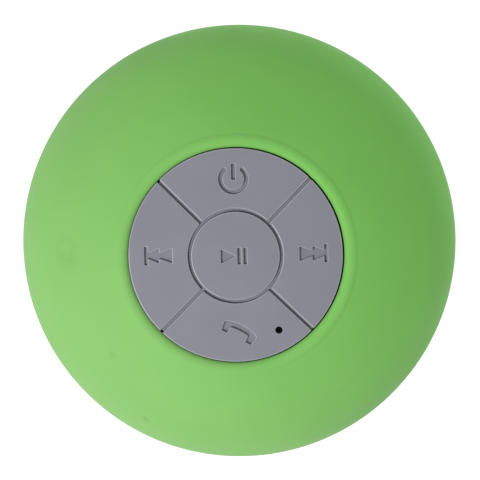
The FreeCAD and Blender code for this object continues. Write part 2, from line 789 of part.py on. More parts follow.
b = body("port_cover")
pad(b, bar(-5.5, -30.9, 5.5, -26.0), Q(15.05), 1.3)
loft_a = sketch(b, "port_cover_plug_root", "XY_Plane", Q(16.35))
box_loop(loft_a, Q(-3.2), Q(-29.2), Q(3.2), Q(-27.7))
loft_b = sketch(b, "port_cover_plug_tip", "XY_Plane", Q(18.5))
box_loop(loft_b, Q(-2.4), Q(-29.0), Q(2.4), Q(-27.9))
lf = b.newObject("PartDesign::AdditiveLoft", "port_cover_plug")
lf.Profile = loft_a
lf.Sections = [loft_b]
lf.Ruled = True
b.Tip = lf
doc.recompute()
rounding(b, lambda e: (e.Curve.TypeId == "Part::GeomLine" and abs(e.tangentAt(e.FirstParameter).z) > 0.99
                       and e.BoundBox.XMin > 5.0), 1.0, tag="_corners")

b = body("port_cover_anchor")
pad(b, bar(-8.1, -30.9, -5.7, -26.0), Q(15.05), 1.35)
pad(b, rings_at([(Q(-6.9), -ps)], 0.9), Q(16.4), 0.6, tag="_plug")

# ---------------------------------------------------------------- loudspeaker
b = body("driver_gasket")
revolve(b, [(Q(18.6), Q(20.5)), (Q(20.2), Q(20.5)), (Q(20.2), Q(21.0)), (Q(18.6), Q(21.0))])

b = body("driver_frame")
revolve(b, [(Q(17.0), Q(21.0)), (D("driver_radius"), Q(21.0)), (D("driver_radius"), Q(22.0)), (Q(18.2), Q(22.0)),
            (Q(14.2), Q(27.0)), (Q(12.0), Q(27.0)), (Q(12.0), Q(26.4)), (Q(13.4), Q(26.4)), (Q(17.0), Q(22.0))])


def frame_window(sk):
    ri, ro = 14.6, 17.1
    a = math.radians(26)
    loop(sk, [(ri * math.cos(a), -ri * math.sin(a)), (ro * math.cos(a), -ro * math.sin(a)),
              (ro * math.cos(a), ro * math.sin(a)), (ri * math.cos(a), ri * math.sin(a))],
         {1: (Q(0), Q(0), Q(ro), True), 3: (Q(0), Q(0), Q(ri), False)})


win = pocket(b, frame_window, Q(27.5), 5.4, tag="_window")
around(b, win, 4, tag="_windows")

b = body("driver_terminals")
pad(b, bar(-20.3, -3.5, -18.4, 3.5), Q(22.0), 0.9)

b = body("clamp_ring")
revolve(b, [(Q(19.3), Q(22.0)), (Q(25.0), Q(22.0)), (Q(25.0), Q(23.2)), (Q(19.3), Q(23.2))])
pocket(b, bar(-26.0, -4.2, -18.0, 4.2), Q(23.2), 1.2, tag="_notch")
pocket(b, rings_at(clamp_spots, 0.9), Q(23.2), 1.2, tag="_holes")
cylinders("clamp_screws", clamp_spots, [(18.5, 4.7, 0.7), (23.2, 0.9, 1.4)])

b = body("surround")
revolve(b, [(Q(14.4), Q(19.6)), (Q(15.3), Q(19.6)), (Q(16.1), Q(20.6)), (Q(16.7), Q(20.7)), (Q(17.2), Q(20.55)),
            (Q(18.4), Q(20.7)), (Q(18.4), Q(21.0)), (Q(17.0), Q(21.0)), (Q(16.0), Q(20.95)), (Q(15.2), Q(19.85)),
            (Q(14.4), Q(19.85))])

b = body("cone")
revolve(b, [(Q(14.3), Q(19.3)), (Q(15.3), Q(19.3)), (Q(15.3), Q(19.6)), (Q(14.4), Q(19.6)), (Q(7.25), Q(25.0)),
            (Q(7.25), Q(24.6))])

b = body("dust_cap")
cap_r = 12.0
cap_z = 24.4 + 0.0


def cap_arc(r0, z0, z1):
    """Centre height and radius of a circle through (r0, z0) and (0, z1), bulging down."""
    s_ = z0 - z1
    rad = (r0 * r0 + s_ * s_) / (2 * s_)
    return z1 + rad, rad


co, ro_ = cap_arc(7.25, 24.4, 22.4)
ci, ri_ = cap_arc(6.9, 24.4, 22.7)
revolve(b, [(Q(0), Q(22.4)), (Q(7.25), Q(24.4)), (Q(6.9), Q(24.4)), (Q(0), Q(22.7))],
        {0: (Q(0), Q(co), Q(ro_), True), 2: (Q(0), Q(ci), Q(ri_), False)})

b = body("voice_coil")
revolve(b, [(Q(6.95), Q(24.4)), (Q(7.25), Q(24.4)), (Q(7.25), Q(26.6)), (Q(7.5), Q(26.6)), (Q(7.5), Q(29.0)),
            (Q(7.25), Q(29.0)), (Q(7.25), Q(29.4)), (Q(6.95), Q(29.4))])

b = body("spider")
revolve(b, [(Q(7.25), Q(25.05)), (Q(8.4), Q(25.5)), (Q(9.4), Q(25.3)), (Q(10.4), Q(25.8)), (Q(11.4), Q(25.6)),
            (Q(12.2), Q(26.15)), (Q(13.2), Q(26.15)), (Q(13.2), Q(26.4)), (Q(12.1), Q(26.4)), (Q(11.3), Q(25.88)),
            (Q(10.4), Q(26.08)), (Q(9.4), Q(25.58)), (Q(8.4), Q(25.78)), (Q(7.25), Q(25.33))])

b = body("top_plate")
revolve(b, [(Q(7.8), Q(27.0)), (Q(13.0), Q(27.0)), (Q(13.0), Q(28.4)), (Q(7.8), Q(28.4))])
b = body("ring_magnet")
revolve(b, [(Q(9.4), Q(28.4)), (Q(14.0), Q(28.4)), (Q(14.0), Q(32.0)), (Q(9.4), Q(32.0))])
b = body("back_plate")
revolve(b, [(Q(0), Q(27.0)), (Q(6.4), Q(27.0)), (Q(6.4), Q(32.0)), (Q(13.2), Q(32.0)), (Q(13.2), Q(33.8)),
            (Q(0), Q(33.8))])

# ---------------------------------------------------------------- suction cup
b = body("suction_cup")
hollow = 6.2
lip_in = 24.4
under_r = (lip_in * lip_in + hollow * hollow) / (2 * hollow)
bell = 27.0
hx, hz = VALUE["hub_radius"], 8.8
ex, ez = VALUE["cup_radius"], 0.7
cx_, cz_ = (hx + ex) / 2, (hz + ez) / 2
dx_, dz_ = ex - hx, ez - hz
ln = math.hypot(dx_, dz_)
off = math.sqrt(bell * bell - ln * ln / 4)
bell_c = (cx_ + off * dz_ / ln, cz_ - off * dx_ / ln)
revolve(b, [(Q(0), Q(hollow)), (Q(lip_in), Q(0)), (D("cup_radius"), Q(0)), (D("cup_radius"), Q(ez)),
            (D("hub_radius"), Q(hz)), (D("hub_radius"), D("boss_level") - 0.1), (D("stud_radius"), D("boss_level") - 0.1),
            (D("stud_radius"), Q(9.5)), (Q(6.5), Q(9.5)), (Q(6.5), Q(7.5)), (Q(0), Q(7.5))],
        {0: (Q(0), Q(hollow - under_r), Q(under_r), False),
         3: (Q(bell_c[0]), Q(bell_c[1]), Q(bell), True)})
rounding(b, lambda e: is_circle(e, VALUE["hub_radius"], hz), 2.0, tag="_neck")
rounding(b, lambda e: is_circle(e, VALUE["cup_radius"], ez), 0.4, tag="_lip")

b = body("cup_stud")
revolve(b, [(Q(0), Q(7.5)), (Q(6.5), Q(7.5)), (Q(6.5), Q(9.5)), (D("stud_radius"), Q(9.5)),
            (D("stud_radius"), cover_top + 0.05), (Q(1.5), cover_top + 0.05), (Q(1.5), Q(11.0)), (Q(0), Q(11.0))])
b = body("cup_washer")
revolve(b, [(Q(1.6), cover_top + 0.05), (Q(6.0), cover_top + 0.05), (Q(6.0), cover_top + 0.85), (Q(1.6), cover_top + 0.85)])
b = body("cup_screw")
revolve(b, [(Q(0), Q(11.3)), (Q(1.5), Q(11.3)), (Q(1.5), cover_top + 0.85), (Q(2.6), cover_top + 0.85),
            (Q(2.6), cover_top + 1.7), (Q(2.0), cover_top + 2.1), (Q(0), cover_top + 2.1)])


# ---------------------------------------------------------------- leads
def lead(name, runs, rad):
    """Leads of straight runs and tangent arcs, swept with a round section."""
    solids = []
    for edges in runs:
        wire = Part.Wire([e.toShape() for e in edges])
        start = wire.Vertexes[0].Point
        direction = wire.Edges[0].tangentAt(wire.Edges[0].FirstParameter)
        section = Part.Wire([Part.Circle(start, direction, rad).toShape()])
        solid = wire.makePipeShell([section], True, False)
        expect = math.pi * rad * rad * wire.Length
        if abs(solid.Volume - expect) > 0.01 * expect:
            raise RuntimeError("lead section collapsed: " + name)
        print("%s length %.2f mm, bend radius %.1f mm" % (name, wire.Length, VALUE["bend_radius"]))
        solids.append(solid)
    f = doc.addObject("Part::Feature", name)
    f.Shape = Part.makeCompound(solids)
    f.Placement = Placement()
    f.Label = name
    return f


def elbow(x0, y, z0, x_turn, sign, z1):
    """Out along X, a quarter turn, then straight up to z1."""
    br = VALUE["bend_radius"]
    a = Vector(x0, y, z0)
    p = Vector(x_turn, y, z0)
    c = Vector(x_turn, y, z0 + br)
    m = c + Vector(sign * br * math.sin(math.pi / 4), 0, -br * math.cos(math.pi / 4))
    e = c + Vector(sign * br, 0, 0)
    return [Part.LineSegment(a, p), Part.Arc(p, m, e), Part.LineSegment(e, Vector(e.x, y, z1))]


wr = VALUE["wire_radius"]
board_z = VALUE["board_level"]
lead("speaker_leads", [elbow(-20.3, y, 22.55, -21.0, -1, board_z) for y in (-1.5, 1.5)], 0.45)
lead("battery_leads", [elbow(17.0, y, 37.3, 18.4, 1, board_z) for y in (-1.5, 1.5)], wr)
lead("port_leads", [[Part.LineSegment(Vector(x, -26.6, 23.7), Vector(x, -26.6, board_z))]
                    for x in (-4.5, -3.0, 3.0, 4.5)], 0.4)

# ---------------------------------------------------------------- export
doc.recompute()
NODES = [
    "silicone_sleeve", "front_shell", "keypad_web", "key_power", "key_previous", "key_next", "key_call",
    "key_play_pause", "keypad_retainer", "retainer_screws", "main_board", "board_screws", "switch_bodies",
    "switch_plunger_power", "switch_plunger_previous", "switch_plunger_next", "switch_plunger_call",
    "switch_plunger_play_pause", "microphone", "microphone_boot", "bluetooth_module", "amplifier_chip",
    "capacitors", "battery_cell", "battery_pad", "board_pad", "battery_leads", "speaker_leads", "port_leads",
    "port_board", "port_board_screws", "usb_connector", "port_cover", "port_cover_anchor", "rear_cover",
    "rear_seal", "rear_screws", "grille_membrane", "driver_gasket", "driver_frame", "driver_terminals",
    "clamp_ring", "clamp_screws", "surround", "cone", "dust_cap", "voice_coil", "spider", "top_plate",
    "ring_magnet", "back_plate", "suction_cup", "cup_stud", "cup_washer", "cup_screw",
]
bad = []
for o in doc.Objects:
    if any(s in ("Invalid", "Error") for s in o.State):
        bad.append("%s %s" % (o.Name, o.State))
if bad:
    raise RuntimeError("failed objects: " + "; ".join(bad))
by_label = {}
for o in doc.Objects:
    by_label.setdefault(o.Label, o)
os.makedirs("parts", exist_ok=True)
for name in NODES:
    shape = by_label[name].Shape
    if shape.isNull() or not shape.isValid() or not shape.Solids:
        raise RuntimeError("bad shape: " + name)
    shape.exportStep(os.path.join("parts", name + ".step"))
    bb = shape.BoundBox
    print("%-28s %2d solids %10.2f mm3  z %.2f..%.2f" % (name, len(shape.Solids), shape.Volume, bb.ZMin, bb.ZMax))
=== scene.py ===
import json
import math

import bpy
import numpy as np
from mathutils import Matrix, Vector
from mathutils.geometry import delaunay_2d_cdt


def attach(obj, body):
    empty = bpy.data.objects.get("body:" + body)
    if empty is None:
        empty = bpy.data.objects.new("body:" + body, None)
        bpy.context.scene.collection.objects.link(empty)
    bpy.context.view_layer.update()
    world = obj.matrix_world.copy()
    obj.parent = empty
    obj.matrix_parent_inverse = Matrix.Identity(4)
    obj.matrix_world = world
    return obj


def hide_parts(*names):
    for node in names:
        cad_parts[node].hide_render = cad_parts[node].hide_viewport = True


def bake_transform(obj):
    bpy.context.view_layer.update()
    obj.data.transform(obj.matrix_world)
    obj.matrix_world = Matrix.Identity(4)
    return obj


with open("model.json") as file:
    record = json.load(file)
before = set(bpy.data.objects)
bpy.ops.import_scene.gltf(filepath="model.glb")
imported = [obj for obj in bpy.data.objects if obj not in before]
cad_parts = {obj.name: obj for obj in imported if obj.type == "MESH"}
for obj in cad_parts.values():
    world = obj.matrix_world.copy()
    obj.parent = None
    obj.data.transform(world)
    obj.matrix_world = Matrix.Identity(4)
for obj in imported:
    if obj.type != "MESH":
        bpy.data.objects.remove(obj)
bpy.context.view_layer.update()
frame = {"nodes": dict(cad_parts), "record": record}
MM = 0.001

# ------------------------------------------------------------------ sizes shared with the CAD model (mm)
RIM, WIDE, RISE, SIDE, REAR = 43.0, 25.0, 33.5, 26.0, 10.4
WALL = 2.0
HEM, COVER_R, COVER_TOP = 15.4, 34.0, 17.0
BEAD_ROOT, MOUTH_R, MOUTH_Z, BEAD_R = 23.15, 20.55, 52.75, 1.75
PAD_R, PAD_TOP, PAD_CROWN = 20.38, 55.0, 129.6
GROOVE, CENTRE_R = 0.55, 8.45
GROOVE_DEPTH, KEY_FLOOR, NUB = 0.65, 49.9, 45.1
STEM_R, PITCH = 2.2, 14.3
MIC = (8.0, -14.35, 0.7)
PAD_SHIFT = -0.12          # the soft pad sits against one side of its opening

SIDE_X = RIM - SIDE
DROP = (SIDE_X ** 2 - (RISE - SIDE) ** 2) / (2 * (RISE - SIDE))
CROWN_Z, CROWN_R = WIDE - DROP, RISE + DROP
REAR_X = RIM - REAR


# ------------------------------------------------------------------ mesh helpers
def new_object(name, verts, faces, normals=None):
    """Mesh object from millimetre vertices, smooth, with its own vertex normals if given."""
    me = bpy.data.meshes.new(name)
    me.from_pydata([(x * MM, y * MM, z * MM) for x, y, z in verts], [], faces)
    me.validate(verbose=False)
    for p in me.polygons:
        p.use_smooth = True
    if normals is not None and len(me.vertices) == len(normals):
        me.normals_split_custom_set_from_vertices([Vector(n).normalized() for n in normals])
    me.update()
    ob = bpy.data.objects.new(name, me)
    bpy.context.scene.collection.objects.link(ob)
    return ob


def arc_pts(cx, cz, r, a0, a1, n):
    """Points on an arc, angles in degrees, both ends included."""
    return [(cx + r * math.cos(math.radians(a0 + (a1 - a0) * i / n)),
             cz + r * math.sin(math.radians(a0 + (a1 - a0) * i / n))) for i in range(n + 1)]


def fillet(points, radii, step=12.0):
    """Rounds the corners of a closed 2D outline; radii is one radius per point."""
    out = []
    n = len(points)
    for i in range(n):
        p0, p1, p2 = (Vector(points[i - 1]), Vector(points[i]), Vector(points[(i + 1) % n]))
        r = radii[i]
        if r <= 0:
            out.append(tuple(p1))
            continue
        u, v = (p0 - p1).normalized(), (p2 - p1).normalized()
        ang = u.angle(v)
        t = min(r / math.tan(ang / 2), (p0 - p1).length * 0.49, (p2 - p1).length * 0.49)
        rr = t * math.tan(ang / 2)
        a, b = p1 + u * t, p1 + v * t
        turn = math.pi - ang
        k = 4 / 3 * math.tan(turn / 4) * rr
        c1, c2 = a - u * k, b - v * k
        m = max(3, int(math.degrees(turn) / step) + 1)
        for j in range(m + 1):
            s = j / m
            q = a * (1 - s) ** 3 + c1 * 3 * s * (1 - s) ** 2 + c2 * 3 * s * s * (1 - s) + b * s ** 3
            out.append((q.x, q.y))
    return out


def lathe_data(profile, segments=192, closed=True, sharp=38.0):
    """Turned surface about Z. The profile runs so that its left side is the outside when closed
    counter-clockwise in (r, z). Corners sharper than the limit get split normals."""
    n = len(profile)
    pts = [Vector(p) for p in profile]
    spans = n if closed else n - 1
    rings = []          # (r, z, normal_r, normal_z, span it belongs to or None for both)
    start_of, end_of = {}, {}

    def span_normal(i):
        d = (pts[(i + 1) % n] - pts[i % n])
        d.normalize()
        return Vector((d.y, -d.x))

    for i in range(n):
        has_prev = closed or i > 0
        has_next = closed or i < n - 1
        na = span_normal((i - 1) % n) if has_prev else None
        nb = span_normal(i) if has_next else None
        if na is not None and nb is not None and na.length and nb.length and math.degrees(na.angle(nb, 0)) > sharp:
            end_of[(i - 1) % n] = len(rings)
            rings.append((pts[i].x, pts[i].y, na.x, na.y))
            start_of[i] = len(rings)
            rings.append((pts[i].x, pts[i].y, nb.x, nb.y))
        else:
            if na is None:
                nn = nb
            elif nb is None:
                nn = na
            else:
                nn = na + nb
            nn = nn.normalized()
            if has_prev:
                end_of[(i - 1) % n] = len(rings)
            if has_next:
                start_of[i] = len(rings)
            rings.append((pts[i].x, pts[i].y, nn.x, nn.y))
    verts, normals, first = [], [], []
    for r, z, nr, nz in rings:
        first.append(len(verts))
        if r < 1e-6:
            verts.append((0, 0, z))
            normals.append((0, 0, 1 if nz >= 0 else -1))
        else:
            for k in range(segments):
                a = 2 * math.pi * k / segments
                verts.append((r * math.cos(a), r * math.sin(a), z))
                normals.append((nr * math.cos(a), nr * math.sin(a), nz))
    faces = []
    for i in range(spans):
        a, b = start_of[i], end_of[i]
        pa, pb = rings[a][0] < 1e-6, rings[b][0] < 1e-6
        if pa and pb:
            continue
        for k in range(segments):
            k2 = (k + 1) % segments
            if pa:
                faces.append((first[a], first[b] + k2, first[b] + k))
            elif pb:
                faces.append((first[a] + k, first[a] + k2, first[b]))
            else:
                faces.append((first[a] + k, first[a] + k2, first[b] + k2, first[b] + k))
    return verts, faces, normals


def lathe(name, profile, segments=192, closed=True, sharp=38.0):
    return new_object(name, *lathe_data(profile, segments, closed, sharp))


def join_data(parts):
    verts, faces, normals = [], [], []
    for v, f, n in parts:
        base = len(verts)
        verts += v
        normals += n
        faces += [tuple(base + i for i in face) for face in f]
    return verts, faces, normals


def shifted(data, dx, dy, dz=0.0):
    v, f, n = data
    return [(x + dx, y + dy, z + dz) for x, y, z in v], f, n


# ------------------------------------------------------------------ outlines of lines and arcs with soft corners
def seg_line(a, b):
    return ("L", Vector(a), Vector(b))


def seg_arc(c, r, a0, a1):
    """Arc from a0 to a1 in degrees; a1 < a0 runs clockwise."""
    return ("A", Vector(c), r, math.radians(a0), math.radians(a1))


def seg_len(s):
    return (s[2] - s[1]).length if s[0] == "L" else abs(s[4] - s[3]) * s[2]


def seg_at(s, d):
    """Point and tangent at a distance along a segment."""
    if s[0] == "L":
        t = (s[2] - s[1]).normalized()
        return s[1] + t * d, t
    sign = 1 if s[4] > s[3] else -1
    a = s[3] + sign * d / s[2]
    return (s[1] + Vector((math.cos(a), math.sin(a))) * s[2],
            Vector((-math.sin(a), math.cos(a))) * sign)


def outline(segs, radius, spacing=0.15):
    """Dense closed outline. radius is one corner radius or one per joint at the end of each segment."""
    n = len(segs)
    lens = [seg_len(s) for s in segs]
    radii = radius if isinstance(radius, (list, tuple)) else [radius] * n
    cut_end, cut_start, turns = [0.0] * n, [0.0] * n, [0.0] * n
    for i in range(n):
        j = (i + 1) % n
        _, u = seg_at(segs[i], lens[i])
        _, v = seg_at(segs[j], 0.0)
        turn = math.atan2(u.x * v.y - u.y * v.x, u.dot(v))
        if abs(turn) > math.radians(8) and radii[i] > 0:
            t = min(radii[i] * math.tan(abs(turn) / 2), 0.45 * lens[i], 0.45 * lens[j])
            cut_end[i] = cut_start[j] = t
            turns[i] = abs(turn)
    pts = []
    for i in range(n):
        j = (i + 1) % n
        span = lens[i] - cut_start[i] - cut_end[i]
        m = max(1, int(round(span / spacing)))
        for k in range(m + (1 if turns[i] else 0)):
            pts.append(seg_at(segs[i], cut_start[i] + span * k / m)[0])
        if turns[i]:
            p0, u = seg_at(segs[i], lens[i] - cut_end[i])
            p3, v = seg_at(segs[j], cut_start[j])
            r = cut_end[i] / math.tan(turns[i] / 2)
            h = 4 / 3 * math.tan(turns[i] / 4) * r
            m = max(3, int(math.degrees(turns[i]) / 15))
            for k in range(1, m):
                s = k / m
                pts.append(p0 * (1 - s) ** 3 + (p0 + u * h) * 3 * s * (1 - s) ** 2
                           + (p3 - v * h) * 3 * s * s * (1 - s) + p3 * s ** 3)
    clean = [pts[0]]
    for p in pts[1:]:
        if (p - clean[-1]).length > 1e-4:
            clean.append(p)
    if (clean[0] - clean[-1]).length < 1e-4:
        clean.pop()
    return clean


def polygon(points):
    return [seg_line(points[i], points[(i + 1) % len(points)]) for i in range(len(points))]


def circle(cx, cy, r, spacing=0.15):
    m = max(24, int(2 * math.pi * r / spacing))
    return [Vector((cx + r * math.cos(2 * math.pi * k / m), cy + r * math.sin(2 * math.pi * k / m)))
            for k in range(m)]


def inward(ring):
    """Unit normals to the inside of a counter-clockwise ring, with the mitre factor."""
    out = []
    n = len(ring)
    for i in range(n):
        e1 = (ring[i] - ring[i - 1]).normalized()
        e2 = (ring[(i + 1) % n] - ring[i]).normalized()
        b = Vector((-(e1.y + e2.y), e1.x + e2.x)).normalized()
        out.append((b, 1 / max(0.6, b.dot(Vector((-e1.y, e1.x))))))
    return out


def offset(ring, d):
    return [p + b * (d * k) for p, (b, k) in zip(ring, inward(ring))]


def inside(points, ring):
    """Which of the (n, 2) points lie inside the ring."""
    x, y = points[:, 0], points[:, 1]
    got = np.zeros(len(points), bool)
    n = len(ring)
    for i in range(n):
        x0, y0 = ring[i - 1]
        x1, y1 = ring[i]
        if y0 == y1:
            continue
        hit = ((y0 > y) != (y1 > y)) & (x < (x1 - x0) * (y - y0) / (y1 - y0) + x0)
        got ^= hit
    return got


def crown(x, y, drop=0.0):
    k = PAD_CROWN - drop
    return PAD_TOP - PAD_CROWN + math.sqrt(k * k - x * x - y * y)


def crown_normal(x, y):
    return Vector((x, y, math.sqrt(PAD_CROWN ** 2 - x * x - y * y))).normalized()


LIP_OUT, LIP_ROUND, LIP_FALL = 0.20, 0.22, 0.14


def crowned_piece(edge, edge_round, drop, floor, signs=(), holes=(), grid=0.9, sign_depth=0.34):
    """A moulded pad: domed top, rounded rim, engraved signs with soft walls, straight sides."""
    xy, pos, nor, edges = [], [], [], []

    def ring_in(points, depths, normals):
        base = len(xy)
        for p, d, nn in zip(points, depths, normals):
            xy.append((p.x, p.y))
            pos.append((p.x, p.y, crown(p.x, p.y, drop) - d))
            nor.append(nn)
        m = len(points)
        edges.extend((base + i, base + (i + 1) % m) for i in range(m))
        return base, m

    steps = 6
    flat = edge_round if edge_round < 0.1 else edge_round * 0.62
    wall = None
    dirs = inward(edge)
    for j in range(steps + 1):
        a = math.radians(90.0 * j / steps)
        ring = [p + b * (k * edge_round * (1 - math.cos(a))) for p, (b, k) in zip(edge, dirs)]
        nh, nv = flat * math.cos(a), edge_round * math.sin(a)
        ns = [Vector((-b.x * nh, -b.y * nh, nv)).normalized() if j < steps
              else crown_normal(p.x, p.y) for p, (b, k) in zip(ring, dirs)]
        got = ring_in(ring, [flat * (1 - math.sin(a))] * len(ring), ns)
        if j == 0:
            wall = got
    keep_off = [offset(edge, edge_round + 0.25)]
    for sign in signs:
        dirs = inward(sign)
        # rounded lip, steep wall, small foot: distance inwards, depth, tilt of the surface
        lo, lip = -LIP_OUT, LIP_ROUND
        wall_steps = []
        for t in (0, 16, 32, 48, 64, 80):
            ct, st = math.cos(math.radians(t)), math.sin(math.radians(t))
            wall_steps.append((lo + lip * st, LIP_FALL * (1 - ct),
                               math.degrees(math.atan2(LIP_FALL * st, lip * ct))))
        wall_steps.append((wall_steps[-1][0] + 0.035, sign_depth - 0.04, 74))
        wall_steps.append((wall_steps[-1][0] + 0.03, sign_depth, 0))
        hi = wall_steps[-1][0]
        for d, depth, tilt in wall_steps:
            ca, sa = math.cos(math.radians(tilt)), math.sin(math.radians(tilt))
            ring = [p + b * (k * d) for p, (b, k) in zip(sign, dirs)]
            ns = []
            for p, (b, k) in zip(ring, dirs):
                c = crown_normal(p.x, p.y)
                ns.append(Vector((c.x * ca + b.x * sa, c.y * ca + b.y * sa, c.z * ca)).normalized())
            ring_in(ring, [depth] * len(ring), ns)
        # the floor inside the sign
        inner = offset(sign, hi + 0.18)
        arr = np.array([(p.x, p.y) for p in sign])
        lo_xy, hi_xy = arr.min(0), arr.max(0)
        gx = np.arange(lo_xy[0], hi_xy[0], 0.45)
        gy = np.arange(lo_xy[1], hi_xy[1], 0.45)
        if len(gx) and len(gy):
            pts = np.array([(x, y) for x in gx for y in gy])
            ok = inside(pts, [(p.x, p.y) for p in inner])
            near = np.array([(p.x, p.y) for p in offset(sign, hi)])
            for x, y in pts[ok]:
                if np.min(np.hypot(near[:, 0] - x, near[:, 1] - y)) < 0.12:
                    continue
                xy.append((x, y))
                pos.append((x, y, crown(x, y, drop) - sign_depth))
                nor.append(crown_normal(x, y))
    hole_walls = []
    for hx, hy, hr in holes:
        ring0 = circle(hx, hy, hr, 0.1)
        dirs = inward(ring0)
        for j in range(5):
            a = math.radians(90.0 * j / 4)
            ring = [p + b * (-(0.12) * (1 - math.sin(a))) for p, (b, k) in zip(ring0, dirs)]
            ns = [Vector((b.x * math.sin(a), b.y * math.sin(a), math.cos(a) + 1e-3)).normalized()
                  for p, (b, k) in zip(ring, dirs)]
            got = ring_in(ring, [0.12 * (1 - math.cos(a))] * len(ring), ns)
        hole_walls.append((got, ring0))
    # inner points that carry the crown
    arr = np.array([(p.x, p.y) for p in edge])
    lo_xy, hi_xy = arr.min(0), arr.max(0)
    pts = np.array([(x, y) for x in np.arange(lo_xy[0] + 0.4, hi_xy[0], grid)
                    for y in np.arange(lo_xy[1] + 0.4, hi_xy[1], grid)])
    ok = inside(pts, [(p.x, p.y) for p in keep_off[0]])
    for sign in signs:
        ok &= ~inside(pts, [(p.x, p.y) for p in offset(sign, -0.36)])
    for hx, hy, hr in holes:
        ok &= np.hypot(pts[:, 0] - hx, pts[:, 1] - hy) > hr + 0.35
    for x, y in pts[ok]:
        xy.append((x, y))
        pos.append((x, y, crown(x, y, drop)))
        nor.append(crown_normal(x, y))
    out_xy, _, tris, orig, _, _ = delaunay_2d_cdt([Vector(p) for p in xy], edges, [], 0, 1e-6, True)
    back = {}
    v3, n3 = [], []
    for i, (p, src) in enumerate(zip(out_xy, orig)):
        if src:
            for k in src:
                back[k] = i
            v3.append(pos[src[0]])
            n3.append(tuple(nor[src[0]]))
        else:
            v3.append((p.x, p.y, crown(p.x, p.y, drop)))
            n3.append(tuple(crown_normal(p.x, p.y)))
    cen = np.array([[sum(out_xy[i].x for i in t) / 3, sum(out_xy[i].y for i in t) / 3] for t in tris])
    ok = inside(cen, [(p.x, p.y) for p in edge])
    for (base, m), ring0 in hole_walls:
        ok &= ~inside(cen, [(p.x, p.y) for p in ring0])
    faces = [tuple(t) for t, k in zip(tris, ok) if k]
    # drop vertices that no face uses
    used = sorted({i for f in faces for i in f})
    remap = {old: new for new, old in enumerate(used)}
    v3 = [v3[i] for i in used]
    n3 = [n3[i] for i in used]
    faces = [tuple(remap[i] for i in f) for f in faces]

    def skirt(base, m, outward):
        top = [remap[back[base + i]] for i in range(m)]
        low = len(v3)
        for i in top:
            x, y, _ = v3[i]
            v3.append((x, y, floor))
            n3.append((n3[i][0], n3[i][1], 0.0))
        for i in range(m):
            j = (i + 1) % m
            if outward:
                faces.append((top[i], low + i, low + j, top[j]))
            else:
                faces.append((top[i], top[j], low + j, low + i))
        return [(v3[low + i][0], v3[low + i][1]) for i in range(m)]

    rims = [skirt(wall[0], wall[1], True)]
    for (base, m), ring0 in hole_walls:
        rims.append(skirt(base, m, False))
    # underside
    cap_xy, cap_edges = [], []
    for rim in rims:
        base = len(cap_xy)
        cap_xy += rim
        cap_edges += [(base + i, base + (i + 1) % len(rim)) for i in range(len(rim))]
    cxy, _, ctris, _, _, _ = delaunay_2d_cdt([Vector(p) for p in cap_xy], cap_edges, [], 0, 1e-6, True)
    cen = np.array([[sum(cxy[i].x for i in t) / 3, sum(cxy[i].y for i in t) / 3] for t in ctris])
    ok = inside(cen, rims[0])
    for rim in rims[1:]:
        ok &= ~inside(cen, rim)
    low = len(v3)
    for p in cxy:
        v3.append((p.x, p.y, floor))
        n3.append((0, 0, -1))
    faces += [tuple(low + i for i in reversed(t)) for t, k in zip(ctris, ok) if k]
    return v3, faces, n3


# ------------------------------------------------------------------ key outlines
def turned(v, quarter):
    x, y = v
    return [(x, y), (-y, x), (-x, -y), (y, -x)][quarter]


def key_outline(quarter, gap=0.0, spacing=0.16):
    """Outline of an outer key; gap grows it on every side."""
    side = GROOVE / 2 - gap
    r_in, r_out = CENTRE_R + GROOVE - gap, PAD_R + gap
    a_in = math.degrees(math.asin(side / r_in))
    a_out = math.degrees(math.asin(side / r_out))
    q = 90.0 * quarter

    def at(r, a):
        return (r * math.cos(math.radians(a + q)), r * math.sin(math.radians(a + q)))

    segs = [seg_line(at(r_in, 45 + a_in), at(r_out, 45 + a_out)),
            seg_arc((0, 0), r_out, 45 + a_out + q, 135 - a_out + q),
            seg_line(at(r_out, 135 - a_out), at(r_in, 135 - a_in)),
            seg_arc((0, 0), r_in, 135 - a_in + q, 45 + a_in + q)]
    return outline(segs, [0.2, 0.2, 0.15, 0.15], spacing)


def moved(ring, dx, dy, turn=0.0):
    c, s = math.cos(math.radians(turn)), math.sin(math.radians(turn))
    return [Vector((p.x * c - p.y * s + dx, p.x * s + p.y * c + dy)) for p in ring]


STROKE, BAR = 0.78, 0.62


def sign_power():
    r = 2.44
    ro, ri = r + STROKE / 2, r - STROKE / 2
    a = 55.0
    co, si = math.cos(math.radians(a)), math.sin(math.radians(a))
    segs = [seg_arc((0, 0), ro, 180 - a, 360 + a), seg_line((ro * co, ro * si), (ri * co, ri * si)),
            seg_arc((0, 0), ri, 360 + a, 180 - a), seg_line((-ri * co, ri * si), (-ro * co, ro * si))]
    w = STROKE / 2
    return [outline(segs, 0.22, 0.1),
            outline(polygon([(-w, -0.1), (w, -0.1), (w, 2.95), (-w, 2.95)]), 0.2, 0.1)]


def sign_skip(sign):
    pts = [(-2.6, -1.4), (-0.1, -0.5), (-0.1, -1.4), (2.1, -0.5), (2.1, -1.75), (2.1 + BAR, -1.75),
           (2.1 + BAR, 1.75), (2.1, 1.75), (2.1, 0.5), (-0.1, 1.4), (-0.1, 0.5), (-2.6, 1.4)]
    if sign < 0:
        pts = [(-x, y) for x, y in reversed(pts)]
    return [outline(polygon(pts), 0.12, 0.1)]


def sign_play():
    out = [outline(polygon([(-2.75, -1.38), (0.0, 0.0), (-2.75, 1.38)]), 0.12, 0.1)]
    for x in (0.42, 1.55):
        out.append(outline(polygon([(x, -1.58), (x + BAR, -1.58), (x + BAR, 1.58), (x, 1.58)]), 0.14, 0.1))
    return out


def bow(half, low, high):
    rise = high - low
    r = (half * half + rise * rise) / (2 * rise)
    return r, high - r


